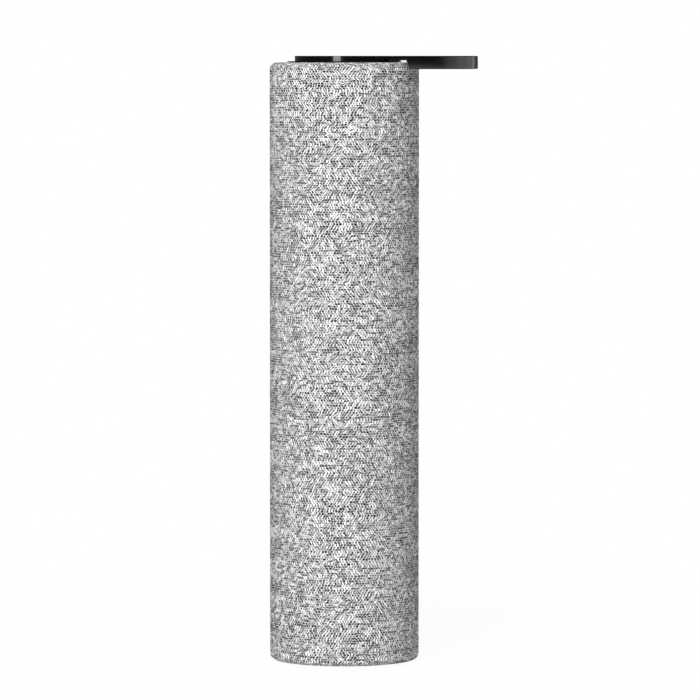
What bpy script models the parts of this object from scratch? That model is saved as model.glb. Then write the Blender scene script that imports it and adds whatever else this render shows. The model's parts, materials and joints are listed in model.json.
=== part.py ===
"""Tall cylindrical smart speaker with a fabric sleeve, a gloss top cap and a carrying strap.

Metres, +Z up. The origin is the centre of the foot pad's underside, +X points to the strap
and -Y is the front. Every sub-part is one object; every cutter is in its own collection.
"""

import math

import bmesh
import bpy
from mathutils import Matrix, Vector

MM = 0.001

# ---------------------------------------------------------------- driving dimensions
BODY_R = 42.0 * MM  # outside of the fabric
HEIGHT = 343.0 * MM  # top of the cap
CAP_R = 28.0 * MM
STRAP_REACH = 75.5 * MM  # axis of the body to the far end of the strap

# ---------------------------------------------------------------- fits and resolution
GAP = 0.3 * MM  # between pieces that touch
OUTER_STEPS = 40
MIDDLE_STEPS = 32
INNER_STEPS = 20
BUTTON_STEPS = 16
SMALL_STEPS = 12
BOSS_STEPS = 10
SCREW_STEPS = 8
HEX_STEPS = 6
MERGE = 0.00001
OVERSIZE = 1.0 * MM  # how far a cutter runs past the wall it cuts

# ---------------------------------------------------------------- outer skin
FABRIC_T = 1.0 * MM
FABRIC_TOP = HEIGHT - 3.7 * MM
FABRIC_BOTTOM = 0.8 * MM
SHOULDER_R = 4.0 * MM
HEEL_R = 3.4 * MM
FABRIC_TOP_HOLE_R = 30.9 * MM
FABRIC_BOTTOM_HOLE_R = 33.4 * MM
TUBE_R = BODY_R - FABRIC_T - GAP
TUBE_T = 1.6 * MM
TUBE_BORE_R = TUBE_R - TUBE_T
SLOT_COUNT = 16
SLOT_WIDTH = 7.5 * MM

# ---------------------------------------------------------------- heights of the inner stack
FOOT_T = 1.9 * MM
BASE_LEDGE = 6.0 * MM
TRAY_BOTTOM = 6.5 * MM
CELL_BOTTOM = 9.0 * MM
CELL_LENGTH = 65.0 * MM
CAGE_BOTTOM = 77.5 * MM
CAGE_TOP = 97.5 * MM
ENCLOSURE_BOTTOM = 100.0 * MM
ENCLOSURE_TOP = 195.0 * MM
WOOFER_FLANGE_TOP = 197.7 * MM
LOWER_PLATE_TOP = 230.5 * MM
UPPER_PLATE_TOP = 264.5 * MM
DECK_BOTTOM = 328.6 * MM
DECK_T = 2.0 * MM
STAGE_R = 38.6 * MM  # rings and plates that fill the tube's bore
CHANNEL_R = 35.4 * MM  # cables run outside this radius, on the -X side

# ---------------------------------------------------------------- top cap, buttons and strap
CAP_EDGE = 0.4 * MM
CAP_UNDERSIDE = HEIGHT - 4.1 * MM
SKIRT_BOTTOM = HEIGHT - 8.2 * MM
SKIRT_INNER_R = 25.4 * MM
TRIM_R = 32.2 * MM
TRIM_TOP = FABRIC_TOP + 0.7 * MM
BUTTON_R = 4.0 * MM
BUTTON_CIRCLE_R = 10.0 * MM
BUTTON_TOP = HEIGHT - 0.1 * MM
LIGHT_RING_R = (19.5 * MM, 21.0 * MM)
LIGHT_RING_BOTTOM = HEIGHT - 2.0 * MM
BOSS_CIRCLE_R = 26.6 * MM
PIN_X = 18.0 * MM
PIN_Z = HEIGHT - 1.6 * MM
PIN_R = 0.6 * MM
PIN_BORE_R = 0.7 * MM
ARM_Y = 17.9 * MM  # centre of each strap arm where its pin crosses it
ARM_BOTTOM = HEIGHT - 2.75 * MM
ARM_TOP = HEIGHT - 0.4 * MM
STRAP_T = 1.8 * MM
STRAP_WIDTH = 7.5 * MM
STRAP_HALF_Y = 23.6 * MM  # centre of the band, where it is widest
STRAP_FLARE_X = 22.4 * MM  # where each arm leaves the cap and turns outward
STRAP_STEP_X = 35.3 * MM  # where each arm widens into the band, clear of the fabric
# Each change of the strap's lower edge: its new height, and where it starts and is complete. First a
# heel over the fabric, then a slot, then the full width of the band.
STRAP_STEPS = (
    (HEIGHT - 3.4 * MM, 26.6 * MM, 27.4 * MM),
    (HEIGHT - 2.55 * MM, 31.0 * MM, 31.8 * MM),
    (HEIGHT - STRAP_WIDTH, STRAP_STEP_X, STRAP_STEP_X + 0.9 * MM),
)
STRAP_RISE = (23.0 * MM, 28.0 * MM)  # where its upper edge comes up to the cap's top
NOTCH_WIDTH = 2.9 * MM
NOTCH_FLOOR = HEIGHT - 3.2 * MM

# ---------------------------------------------------------------- rear connection panel
PANEL_Z = 38.0 * MM
PANEL_SIZE = (17.0 * MM, 47.0 * MM)
PANEL_FLANGE_SIZE = (21.0 * MM, 51.0 * MM)
PANEL_FLANGE_Y = (33.5 * MM, 35.5 * MM)
PANEL_PROUD = 0.2 * MM
POWER_Z = 50.0 * MM
LENS_Z = 39.5 * MM
SOCKET_Z = 28.0 * MM
SOCKET_SIZE = (8.94 * MM, 3.26 * MM)
IO_BOARD_Y = 26.0 * MM

UPRIGHT = Matrix.Identity(4)
FRONT_TO_BACK = Matrix.Rotation(math.radians(-90), 4, "X")  # turns +Z to +Y


# ================================================================ helpers
def clear_scene():
    for obj in list(bpy.data.objects):
        bpy.data.objects.remove(obj)


def new_collection(name):
    collection = bpy.data.collections.new(name)
    bpy.context.scene.collection.children.link(collection)
    return collection


def new_material(name, colour, roughness, metallic=0.0):
    material = bpy.data.materials.new(name)
    material.use_nodes = True
    shader = material.node_tree.nodes["Principled BSDF"]
    shader.inputs["Base Color"].default_value = (*colour, 1.0)
    shader.inputs["Roughness"].default_value = roughness
    shader.inputs["Metallic"].default_value = metallic
    material.diffuse_color = (*colour, 1.0)
    return material


def place(name, mesh, material, origin=(0, 0, 0)):
    """An object for the mesh, with smooth shading on its round stretches."""
    mesh.shade_smooth()
    mesh.set_sharp_from_angle(angle=math.radians(35))
    obj = bpy.data.objects.new(name, mesh)
    PARTS.objects.link(obj)
    obj.location = origin
    if material:
        mesh.materials.append(material)
    return obj


def as_helper(obj):
    """Moves an object to the cutters, where only a Boolean sees it."""
    PARTS.objects.unlink(obj)
    CUTTERS.objects.link(obj)
    obj.hide_render = True
    obj.display_type = "WIRE"
    return obj


def boolean(obj, other, operation):
    if other.name not in CUTTERS.objects:
        as_helper(other)
    modifier = obj.modifiers.new(f"{operation.lower()} {other.name}", "BOOLEAN")
    modifier.operation = operation
    modifier.object = other
    return obj


def cut(obj, *cutters):
    for cutter in cutters:
        boolean(obj, cutter, "DIFFERENCE")
    return obj


def join(obj, *others):
    for other in others:
        boolean(obj, other, "UNION")
    return obj


def arc(centre_r, centre_z, radius, start, end, count=4):
    """Points of an arc from start to end degrees, anticlockwise positive, end points included."""
    angles = [math.radians(start + (end - start) * i / (count - 1)) for i in range(count)]
    return [(centre_r + radius * math.cos(a), centre_z + radius * math.sin(a)) for a in angles]


def turned(name, profile, material, steps=INNER_STEPS, origin=(0, 0, 0), axis="Z"):
    """A profile of (radius, height) points that runs down its outer side, spun about Z or Y.

    A profile with both ends on the axis is a solid one; any other is closed into a ring.
    """
    solid = profile[0][0] == 0 and profile[-1][0] == 0
    count = len(profile)
    edges = [(i, (i + 1) % count) for i in range(count - 1 if solid else count)]
    mesh = bpy.data.meshes.new(name)
    mesh.from_pydata([(r, 0, z) for r, z in profile], edges, [])
    obj = place(name, mesh, material, origin)
    screw = obj.modifiers.new("turn", "SCREW")
    screw.steps = steps
    screw.render_steps = steps
    screw.use_merge_vertices = True
    screw.merge_threshold = MERGE
    if axis == "Y":
        obj.rotation_euler = FRONT_TO_BACK.to_euler()
    return obj


def solids(name, material, *makers):
    """One mesh that holds the shapes which the makers add to it."""
    bm = bmesh.new()
    for maker in makers:
        maker(bm)
    mesh = bpy.data.meshes.new(name)
    bm.to_mesh(mesh)
    bm.free()
    return place(name, mesh, material)


def block(centre, size, turn=Matrix.Identity(4)):
    """A maker of a box, turned about the Z axis of the frame by the matrix."""
    matrix = turn @ Matrix.Translation(centre) @ Matrix.Diagonal((*size, 1))
    return lambda bm: bmesh.ops.create_cube(bm, size=1, matrix=matrix)


def rod(centre, radius, length, turn=Matrix.Identity(4), sides=SMALL_STEPS):
    """A maker of a cylinder along Z, or along the axis that the matrix turns Z to."""
    matrix = Matrix.Translation(centre) @ turn
    return lambda bm: bmesh.ops.create_cone(
        bm, cap_ends=True, segments=sides, radius1=radius, radius2=radius, depth=length, matrix=matrix
    )


def box(name, low, high, material):
    centre = (Vector(low) + Vector(high)) / 2
    return solids(name, material, block(centre, Vector(high) - Vector(low)))


def cylinder(name, centre, radius, length, material=None, turn=UPRIGHT, sides=SMALL_STEPS):
    return solids(name, material, rod(centre, radius, length, turn, sides))


def around(radius, count, first_deg=0.0):
    """Points on a circle, with the turn that carries +X to each."""
    for i in range(count):
        angle = math.radians(first_deg + 360 * i / count)
        point = Vector((radius * math.cos(angle), radius * math.sin(angle), 0))
        yield point, Matrix.Rotation(angle, 4, "Z")


def pill(name, width, height, centre_z, y_from, y_to, material=None):
    """A plate with round ends, upright, between two depths at the back of the body."""
    radius = width / 2
    straight = height / 2 - radius
    ends = arc(0, straight, radius, 0, 180, 9) + arc(0, -straight, radius, 180, 360, 9)
    curve = bpy.data.curves.new(name + "_outline", "CURVE")
    curve.dimensions = "2D"
    curve.fill_mode = "BOTH"
    curve.extrude = (y_to - y_from) / 2
    spline = curve.splines.new("POLY")
    spline.points.add(len(ends) - 1)
    spline.use_cyclic_u = True
    for point, (x, z) in zip(spline.points, ends):
        point.co = (x, z, 0, 1)
    middle = Matrix.Translation((0, (y_from + y_to) / 2, centre_z))
    return from_curve(name, curve, material, middle @ Matrix.Rotation(math.radians(90), 4, "X"))


def from_curve(name, curve, material, matrix=UPRIGHT):
    """The curve's evaluated surface as a mesh object with its caps welded, in place."""
    guide = bpy.data.objects.new(name + "_guide", curve)
    PARTS.objects.link(guide)
    guide.matrix_world = matrix
    bpy.context.view_layer.update()
    graph = bpy.context.evaluated_depsgraph_get()
    mesh = bpy.data.meshes.new_from_object(guide.evaluated_get(graph))
    bpy.data.objects.remove(guide)
    bm = bmesh.new()
    bm.from_mesh(mesh)
    bmesh.ops.remove_doubles(bm, verts=bm.verts, dist=MERGE)
    bmesh.ops.recalc_face_normals(bm, faces=bm.faces)
    bm.to_mesh(mesh)
    bm.free()
    mesh.materials.clear()
    obj = place(name, mesh, material)
    obj.matrix_world = matrix
    return obj


def lead(name, route, radius, material):
    """A wire bundle along a smooth curve through the route's points."""
    points = smooth(route, 3)
    curve = bpy.data.curves.new(name, "CURVE")
    curve.dimensions = "3D"
    curve.bevel_depth = radius
    curve.bevel_resolution = 2
    curve.use_fill_caps = True
    spline = curve.splines.new("POLY")
    spline.points.add(len(points) - 1)
    for target, point in zip(spline.points, points):
        target.co = (*point, 1)
    obj = bpy.data.objects.new(name, curve)
    PARTS.objects.link(obj)
    curve.materials.append(material)
    return obj


def smooth(route, pieces):
    """Catmull-Rom points through the route, with this many pieces between two of its points."""
    knots = [Vector(p) for p in route]
    knots = [2 * knots[0] - knots[1], *knots, 2 * knots[-1] - knots[-2]]
    points = []
    for a, b, c, d in zip(knots, knots[1:], knots[2:], knots[3:]):
        for i in range(pieces):
            t = i / pieces
            square = 2 * a - 5 * b + 4 * c - d
            cube = 3 * b - a - 3 * c + d
            points.append((2 * b + (c - a) * t + square * t * t + cube * t**3) / 2)
    return [*points, knots[-2]]


def cable_channel():
    """The cutter that lets the cables pass every ring and plate on the -X side."""
    low = (-BODY_R - OVERSIZE, -5 * MM, TRAY_BOTTOM - OVERSIZE)
    high = (-CHANNEL_R, 5 * MM, UPPER_PLATE_TOP + OVERSIZE)
    return as_helper(box("cable_channel_cutter", low, high, None))


def slots(name, bottom, top):
    """A ring of upright slots through the grille tube."""
    length = 2 * (TUBE_T + OVERSIZE)
    middle = Vector((TUBE_R - TUBE_T / 2, 0, (bottom + top) / 2))
    makers = [
        block(middle, (length, SLOT_WIDTH, top - bottom), turn)
        for _, turn in around(0, SLOT_COUNT, 180 / SLOT_COUNT)
    ]
    return solids(name, None, *makers)


def screw(name, under_head, length, shank_r, head_r, material):
    """A pan-head screw with a hex recess. Its shank goes up from a head that faces down."""
    head_t = 1.4 * MM
    profile = [
        (0, length),
        (shank_r * 0.6, length),
        (shank_r, length - shank_r),
        (shank_r, 0),
        (head_r, 0),
        (head_r, -head_t * 0.6),
        (head_r * 0.75, -head_t),
        (0, -head_t),
    ]
    obj = turned(name, profile, material, SCREW_STEPS, under_head)
    at = Vector(under_head) - Vector((0, 0, head_t))
    return cut(obj, cylinder(name + "_recess", at, head_r * 0.45, head_t, sides=HEX_STEPS))


# ================================================================ outer skin
def fabric_sleeve():
    heel_z = FABRIC_BOTTOM + HEEL_R
    shoulder_z = FABRIC_TOP - SHOULDER_R
    shoulder_r = BODY_R - SHOULDER_R
    heel_r = BODY_R - HEEL_R
    profile = [(FABRIC_TOP_HOLE_R, FABRIC_TOP)]
    profile += arc(shoulder_r, shoulder_z, SHOULDER_R, 90, 0)
    profile += arc(heel_r, heel_z, HEEL_R, 0, -90)
    profile += [(FABRIC_BOTTOM_HOLE_R, FABRIC_BOTTOM), (FABRIC_BOTTOM_HOLE_R, FABRIC_BOTTOM + FABRIC_T)]
    profile += arc(heel_r, heel_z, HEEL_R - FABRIC_T, -90, 0, 3)
    profile += arc(shoulder_r, shoulder_z, SHOULDER_R - FABRIC_T, 0, 90)
    profile += [(FABRIC_TOP_HOLE_R, FABRIC_TOP - FABRIC_T)]
    sleeve = turned("fabric_sleeve", profile, FABRIC, OUTER_STEPS)
    return cut(sleeve, WINDOW)


def grille_tube():
    top = FABRIC_TOP - FABRIC_T - GAP
    corner_r = BODY_R - SHOULDER_R
    corner_z = FABRIC_TOP - SHOULDER_R
    radius = top - corner_z
    hole_r = FABRIC_TOP_HOLE_R + 0.1 * MM
    bottom = BASE_LEDGE + GAP
    profile = [(hole_r, top)]
    profile += arc(corner_r, corner_z, radius, 90, 0, 4)
    profile += [(TUBE_R, bottom), (TUBE_BORE_R, bottom)]
    profile += arc(corner_r, corner_z, radius - TUBE_T, 0, 90, 3)
    profile += [(hole_r, top - TUBE_T)]
    tube = turned("grille_tube", profile, BLACK_PLASTIC, MIDDLE_STEPS)
    cut(tube, slots("slots_passive", 80 * MM, 95 * MM))
    cut(tube, slots("slots_woofer", 202 * MM, 227 * MM))
    cut(tube, slots("slots_tweeter", 244 * MM, 260 * MM))
    return cut(tube, WINDOW)


# ================================================================ base
def foot_pad():
    profile = [
        (0, FOOT_T),
        (30.6 * MM, FOOT_T),
        (31.0 * MM, FOOT_T - 0.4 * MM),
        (31.0 * MM, 0.5 * MM),
        (30.5 * MM, 0),
        (26.5 * MM, 0),
        (26.0 * MM, 0.6 * MM),
        (24.5 * MM, 0.6 * MM),
        (24.0 * MM, 0),
        (0, 0),
    ]
    return turned("foot_pad", profile, RUBBER, MIDDLE_STEPS)


def base_plate():
    heel = HEEL_R - FABRIC_T
    profile = [
        (0, 5.2 * MM),
        (37.4 * MM, 5.2 * MM),
        (37.4 * MM, 12.0 * MM),
        (38.8 * MM, 12.0 * MM),
        (38.8 * MM, BASE_LEDGE),
        (TUBE_R, BASE_LEDGE),
    ]
    profile += arc(TUBE_R - heel, 2.1 * MM + heel, heel, 0, -90, 4)
    profile += [
        (33.1 * MM, 2.1 * MM),
        (33.1 * MM, 0.95 * MM),
        (31.4 * MM, 0.95 * MM),
        (31.4 * MM, FOOT_T + GAP),
        (0, FOOT_T + GAP),
    ]
    plate = turned("base_plate", profile, BLACK_PLASTIC, MIDDLE_STEPS)
    for i, (point, _) in enumerate(around(26 * MM, 4, 45)):
        at = point + Vector((0, 0, 2.2 * MM))
        cut(plate, cylinder(f"base_screw_hole_{i}", at, 1.5 * MM, 10 * MM, sides=SCREW_STEPS))
        cut(plate, cylinder(f"base_screw_seat_{i}", at, 2.8 * MM, 3.4 * MM, None))
    return plate


def base_screws():
    for i, (point, _) in enumerate(around(26 * MM, 4, 45), 1):
        at = (point.x, point.y, 3.7 * MM)
        screw(f"base_screw_{i}", at, 11 * MM, 1.2 * MM, 2.4 * MM, STEEL)


def base_seal():
    profile = [(36.8 * MM, 6.2 * MM), (36.8 * MM, 5.5 * MM), (31 * MM, 5.5 * MM), (31 * MM, 6.2 * MM)]
    return turned("base_seal", profile, FOAM)


# ================================================================ battery bay
def battery_tray():
    floor_top = CELL_BOTTOM - GAP
    profile = [(0, floor_top), (36.9 * MM, floor_top), (36.9 * MM, TRAY_BOTTOM), (0, TRAY_BOTTOM)]
    tray = turned("battery_tray", profile, BLACK_PLASTIC)
    column_top = 74.9 * MM
    column_bottom = TRAY_BOTTOM + 1 * MM
    for i, (point, _) in enumerate(around(26 * MM, 4, 45)):
        middle = point + Vector((0, 0, (column_top + column_bottom) / 2))
        height = column_top - column_bottom
        join(tray, cylinder(f"tray_column_{i}", middle, 3.2 * MM, height, sides=BOSS_STEPS))
        bore = point + Vector((0, 0, TRAY_BOTTOM))
        cut(tray, cylinder(f"tray_bore_{i}", bore, 1.3 * MM, 18 * MM, sides=SCREW_STEPS))
    return cut(tray, CHANNEL)


def battery_cells():
    top = CELL_BOTTOM + CELL_LENGTH
    profile = [
        (0, top + 0.7 * MM),
        (3 * MM, top + 0.7 * MM),
        (3 * MM, top),
        (8.8 * MM, top),
        (9.2 * MM, top - 0.4 * MM),
        (9.2 * MM, CELL_BOTTOM + 0.4 * MM),
        (8.8 * MM, CELL_BOTTOM),
        (0, CELL_BOTTOM),
    ]
    for i, (point, _) in enumerate(around(12.5 * MM, 3, 30), 1):
        turned(f"battery_cell_{i}", profile, CELL_WRAP, BUTTON_STEPS, point)


def battery_cap():
    profile = [(0, 77.2 * MM), (36.9 * MM, 77.2 * MM), (36.9 * MM, 75.2 * MM), (0, 75.2 * MM)]
    return cut(turned("battery_cap", profile, BLACK_PLASTIC), CHANNEL)


def battery_board():
    board = box("battery_board", *in_mm((-8, 17.6, 15), (8, 18.8, 60)), CIRCUIT_BOARD)
    chip = box("battery_chip", *in_mm((-3, 18.5, 25), (3, 20, 31)), None)
    plug = box("battery_plug", *in_mm((-4, 18.5, 50), (4, 23, 56)), None)
    return join(board, chip, plug)


# ================================================================ rear connection panel
def rear_panel():
    inside_flange = sum(PANEL_FLANGE_Y) / 2
    panel = pill("rear_panel", *PANEL_SIZE, PANEL_Z, inside_flange, BODY_R + OVERSIZE, BLACK_PLASTIC)
    skin_r = BODY_R + PANEL_PROUD
    body = cylinder("panel_skin", (0, 0, PANEL_Z), skin_r, 60 * MM, sides=2 * OUTER_STEPS)
    boolean(panel, body, "INTERSECT")
    join(panel, pill("panel_flange", *PANEL_FLANGE_SIZE, PANEL_Z, *PANEL_FLANGE_Y))
    middle_y = 38 * MM
    turn = FRONT_TO_BACK
    length = 14 * MM
    at = (0, middle_y, POWER_Z)
    cut(panel, cylinder("power_bore", at, 4.3 * MM, length, turn=turn, sides=BUTTON_STEPS))
    cut(panel, cylinder("lens_bore", (0, middle_y, LENS_Z), 1.1 * MM, length, turn=turn))
    width, height = SOCKET_SIZE
    clearance = 2 * GAP
    low = (-(width + clearance) / 2, 30 * MM, SOCKET_Z - (height + clearance) / 2)
    high = ((width + clearance) / 2, 45 * MM, SOCKET_Z + (height + clearance) / 2)
    return cut(panel, box("socket_slot", low, high, None))


def io_board():
    front = IO_BOARD_Y + 1.2 * MM
    board = box("io_board", (-9 * MM, IO_BOARD_Y, 14 * MM), (9 * MM, front, 60 * MM), CIRCUIT_BOARD)
    switch_low = (-3 * MM, front - 0.2 * MM, POWER_Z - 3 * MM)
    switch_high = (3 * MM, 31.0 * MM, POWER_Z + 3 * MM)
    plug_low = (-7 * MM, IO_BOARD_Y - 3 * MM, 16 * MM)
    plug_high = (-1 * MM, IO_BOARD_Y + 0.2 * MM, 20 * MM)
    plug = box("io_plug", plug_low, plug_high, None)
    return join(board, box("power_switch", switch_low, switch_high, None), plug)


def usb_socket():
    """A hollow metal shell with a contact tongue, open to the back."""
    width, height = SOCKET_SIZE
    inner = IO_BOARD_Y + 1.2 * MM + GAP
    outer = BODY_R - 0.9 * MM
    shell = box(
        "usb_socket",
        (-width / 2, inner, SOCKET_Z - height / 2),
        (width / 2, outer, SOCKET_Z + height / 2),
        STEEL,
    )
    wall = 0.4 * MM
    low = (-width / 2 + wall, inner + 3 * MM, SOCKET_Z - height / 2 + wall)
    high = (width / 2 - wall, outer + OVERSIZE, SOCKET_Z + height / 2 - wall)
    tongue_low = (-3.3 * MM, inner + 2 * MM, SOCKET_Z - 0.35 * MM)
    tongue_high = (3.3 * MM, outer - 1.2 * MM, SOCKET_Z + 0.35 * MM)
    cut(shell, box("socket_cavity", low, high, None))
    return join(shell, box("socket_tongue", tongue_low, tongue_high, None))


def power_button():
    """Its flange is behind the panel. Heights in the profile are depths from the panel's middle."""
    origin_y = 38 * MM
    face = BODY_R + 0.3 * MM - origin_y
    profile = [
        (0, face),
        (3.5 * MM, face),
        (BUTTON_R, face - 0.5 * MM),
        (BUTTON_R, PANEL_FLANGE_Y[0] - GAP - origin_y),
        (4.9 * MM, PANEL_FLANGE_Y[0] - GAP - origin_y),
        (4.9 * MM, 31.9 * MM - origin_y),
        (0, 31.9 * MM - origin_y),
    ]
    return turned("power_button", profile, BLACK_PLASTIC, BUTTON_STEPS, (0, origin_y, POWER_Z), "Y")


def status_lens():
    length = 11.6 * MM
    middle = (0, BODY_R + 0.1 * MM - length / 2, LENS_Z)
    return cylinder("status_lens", middle, 0.9 * MM, length, LIGHT_PIPE, FRONT_TO_BACK)


# ================================================================ acoustic stack
def posts(name, bottom, top, radius=1.8 * MM, circle_r=36.2 * MM):
    middle = Vector((0, 0, (bottom + top) / 2))
    height = top - bottom
    makers = [
        rod(point + middle, radius, height, sides=SCREW_STEPS)
        for point, _ in around(circle_r, 6, 30)
    ]
    return solids(name, None, *makers)


def ring(name, outer_r, inner_r, bottom, top, material=None, steps=INNER_STEPS):
    profile = [(outer_r, top), (outer_r, bottom), (inner_r, bottom), (inner_r, top)]
    return turned(name, profile, material, steps)


def spacer_cage():
    """Holds the passive radiator clear of the battery bay, so that its air gets out."""
    cage = ring("spacer_cage", 36.9 * MM, 30 * MM, CAGE_BOTTOM, CAGE_BOTTOM + 2 * MM, BLACK_PLASTIC)
    join(cage, posts("cage_posts", CAGE_BOTTOM + MM, CAGE_TOP - MM, circle_r=34.6 * MM))
    join(cage, ring("cage_ring", STAGE_R, 31 * MM, CAGE_TOP - 2 * MM, CAGE_TOP))
    return cut(cage, CHANNEL)


def passive_frame():
    frame = ring("passive_frame", 38.0 * MM, 28.9 * MM, 97.9 * MM, 99.6 * MM, BLACK_PLASTIC)
    return cut(frame, CHANNEL)


def half_roll(name, inner_r, outer_r, z, thickness, lip, material):
    """A rubber surround: a half-round roll upwards, with a flat lip on each side."""
    middle = (inner_r + outer_r) / 2
    radius = (outer_r - inner_r) / 2 - lip
    top = z + thickness / 2
    bottom = z - thickness / 2
    profile = [(inner_r, top)]
    profile += arc(middle, top, radius + thickness / 2, 180, 0, 5)
    profile += [(outer_r, top), (outer_r, bottom)]
    profile += arc(middle, bottom, radius - thickness / 2, 0, 180, 5)
    profile += [(inner_r, bottom)]
    return turned(name, profile, material)


def passive_radiator():
    half_roll("passive_surround", 20.8 * MM, 28.6 * MM, 98.7 * MM, 0.8 * MM, 1.0 * MM, RUBBER)
    profile = [
        (0, 3.0 * MM),
        (11 * MM, 3.0 * MM),
        (14 * MM, 1.8 * MM),
        (20.5 * MM, 1.4 * MM),
        (20.5 * MM, 0.4 * MM),
        (10 * MM, 0),
        (0, 0),
    ]
    turned("passive_cone", profile, BLACK_PLASTIC, origin=(0, 0, 97.8 * MM))


def enclosure():
    flange_t = 2.5 * MM
    outer_r = 35.0 * MM
    profile = [
        (STAGE_R, ENCLOSURE_TOP),
        (STAGE_R, ENCLOSURE_TOP - flange_t),
        (outer_r, ENCLOSURE_TOP - flange_t),
        (outer_r, ENCLOSURE_BOTTOM + flange_t),
        (STAGE_R, ENCLOSURE_BOTTOM + flange_t),
        (STAGE_R, ENCLOSURE_BOTTOM),
        (29.5 * MM, ENCLOSURE_BOTTOM),
        (29.5 * MM, ENCLOSURE_BOTTOM + flange_t),
        (32.5 * MM, ENCLOSURE_BOTTOM + flange_t),
        (32.5 * MM, ENCLOSURE_TOP),
    ]
    return cut(turned("enclosure", profile, BLACK_PLASTIC), CHANNEL)


def woofer_basket():
    top = WOOFER_FLANGE_TOP
    profile = [
        (STAGE_R, top),
        (STAGE_R, top - 1.8 * MM),
        (31.2 * MM, top - 1.8 * MM),
        (19.7 * MM, 177.2 * MM),
        (19.7 * MM, 172.0 * MM),
        (11.6 * MM, 172.0 * MM),
        (11.6 * MM, 173.3 * MM),
        (18.4 * MM, 173.3 * MM),
        (18.4 * MM, 177.6 * MM),
        (29.6 * MM, top),
    ]
    basket = turned("woofer_basket", profile, STEEL_BLACK)
    makers = [
        block((25 * MM, 0, 186.5 * MM), (16 * MM, 13 * MM, 10 * MM), turn) for _, turn in around(0, 6)
    ]
    cut(basket, solids("basket_windows", None, *makers))
    return cut(basket, CHANNEL)


def woofer_magnet():
    profile = [
        (0, 172.4 * MM),
        (9.2 * MM, 172.4 * MM),
        (9.2 * MM, 160.5 * MM),
        (11.3 * MM, 160.5 * MM),
        (11.3 * MM, 171.7 * MM),
        (18.8 * MM, 171.7 * MM),
        (18.8 * MM, 168.6 * MM),
        (20.5 * MM, 168.6 * MM),
        (20.5 * MM, 160.2 * MM),
        (18.8 * MM, 160.2 * MM),
        (18.8 * MM, 156.5 * MM),
        (0, 156.5 * MM),
    ]
    return turned("woofer_magnet", profile, STEEL)


def woofer_cone():
    """Paper cone, dust cap and voice-coil former, which move as one."""
    profile = [
        (0, 6.0 * MM),
        (5.5 * MM, 5.2 * MM),
        (10.4 * MM, 2.4 * MM),
        (25.8 * MM, 14.4 * MM),
        (26.0 * MM, 13.6 * MM),
        (10.6 * MM, 1.0 * MM),
        (10.6 * MM, -20.8 * MM),
        (10.1 * MM, -20.8 * MM),
        (10.1 * MM, 1.6 * MM),
        (5.3 * MM, 4.6 * MM),
        (0, 5.4 * MM),
    ]
    turned("woofer_cone", profile, PAPER, origin=(0, 0, 184.3 * MM))
    half_roll("woofer_surround", 26.3 * MM, 33.2 * MM, 198.4 * MM, 0.7 * MM, 1.2 * MM, RUBBER)


def woofer_spider():
    """A corrugated ring that centres the voice coil."""
    inner_r = 10.9 * MM
    outer_r = 18.2 * MM
    waves = 2
    count = 4 * waves + 1
    height = 0.5 * MM
    thickness = 0.4 * MM
    middle_z = 179.4 * MM

    def wave(i, lift):
        share = i / (count - 1)
        return (
            inner_r + (outer_r - inner_r) * share,
            middle_z + lift + height * math.sin(2 * math.pi * waves * share),
        )

    upper = [wave(i, thickness / 2) for i in range(count)]
    lower = [wave(i, -thickness / 2) for i in reversed(range(count))]
    return turned("woofer_spider", upper + lower, SPIDER_CLOTH)


def woofer_gasket():
    return cut(ring("woofer_gasket", 38.2 * MM, 33.2 * MM, 195.2 * MM, 195.7 * MM, FOAM), CHANNEL)


def diffuser(name, ring_bottom, plate_top, tip_z, cone_r):
    """A plate on six posts, with a cone under it that turns the driver's sound outwards."""
    plate_bottom = plate_top - 2.5 * MM
    rise = plate_bottom - tip_z
    profile = [
        (0, plate_top),
        (STAGE_R, plate_top),
        (STAGE_R, plate_bottom),
        (cone_r, plate_bottom),
        (cone_r * 0.55, tip_z + rise * 0.74),
        (cone_r * 0.22, tip_z + rise * 0.34),
        (0, tip_z),
    ]
    stage = turned(name, profile, BLACK_PLASTIC)
    join(stage, posts(name + "_posts", ring_bottom + MM, plate_top - MM))
    join(stage, ring(name + "_ring", STAGE_R, 34.2 * MM, ring_bottom, ring_bottom + 2 * MM))
    return cut(stage, CHANNEL)


def tweeter():
    frame = [
        (0, 240.2 * MM),
        (9.0 * MM, 240.2 * MM),
        (9.0 * MM, 234.0 * MM),
        (10.6 * MM, 234.0 * MM),
        (10.6 * MM, 240.2 * MM),
        (12.8 * MM, 240.2 * MM),
        (12.8 * MM, 242.4 * MM),
        (19.6 * MM, 242.4 * MM),
        (20.0 * MM, 242.0 * MM),
        (20.0 * MM, 240.4 * MM),
        (14.0 * MM, 240.4 * MM),
        (14.0 * MM, 230.8 * MM),
        (0, 230.8 * MM),
    ]
    turned("tweeter_frame", frame, BLACK_PLASTIC)
    dome = [
        (0, 5.2 * MM),
        (5.0 * MM, 4.4 * MM),
        (9.0 * MM, 2.4 * MM),
        (11.6 * MM, 0.6 * MM),
        (12.2 * MM, 0.6 * MM),
        (12.2 * MM, 0),
        (10.0 * MM, 0),
        (10.0 * MM, -5.8 * MM),
        (9.6 * MM, -5.8 * MM),
        (9.6 * MM, 1.2 * MM),
        (8.4 * MM, 2.0 * MM),
        (4.7 * MM, 3.8 * MM),
        (0, 4.5 * MM),
    ]
    turned("tweeter_dome", dome, SILK, origin=(0, 0, 241.0 * MM))


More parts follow.
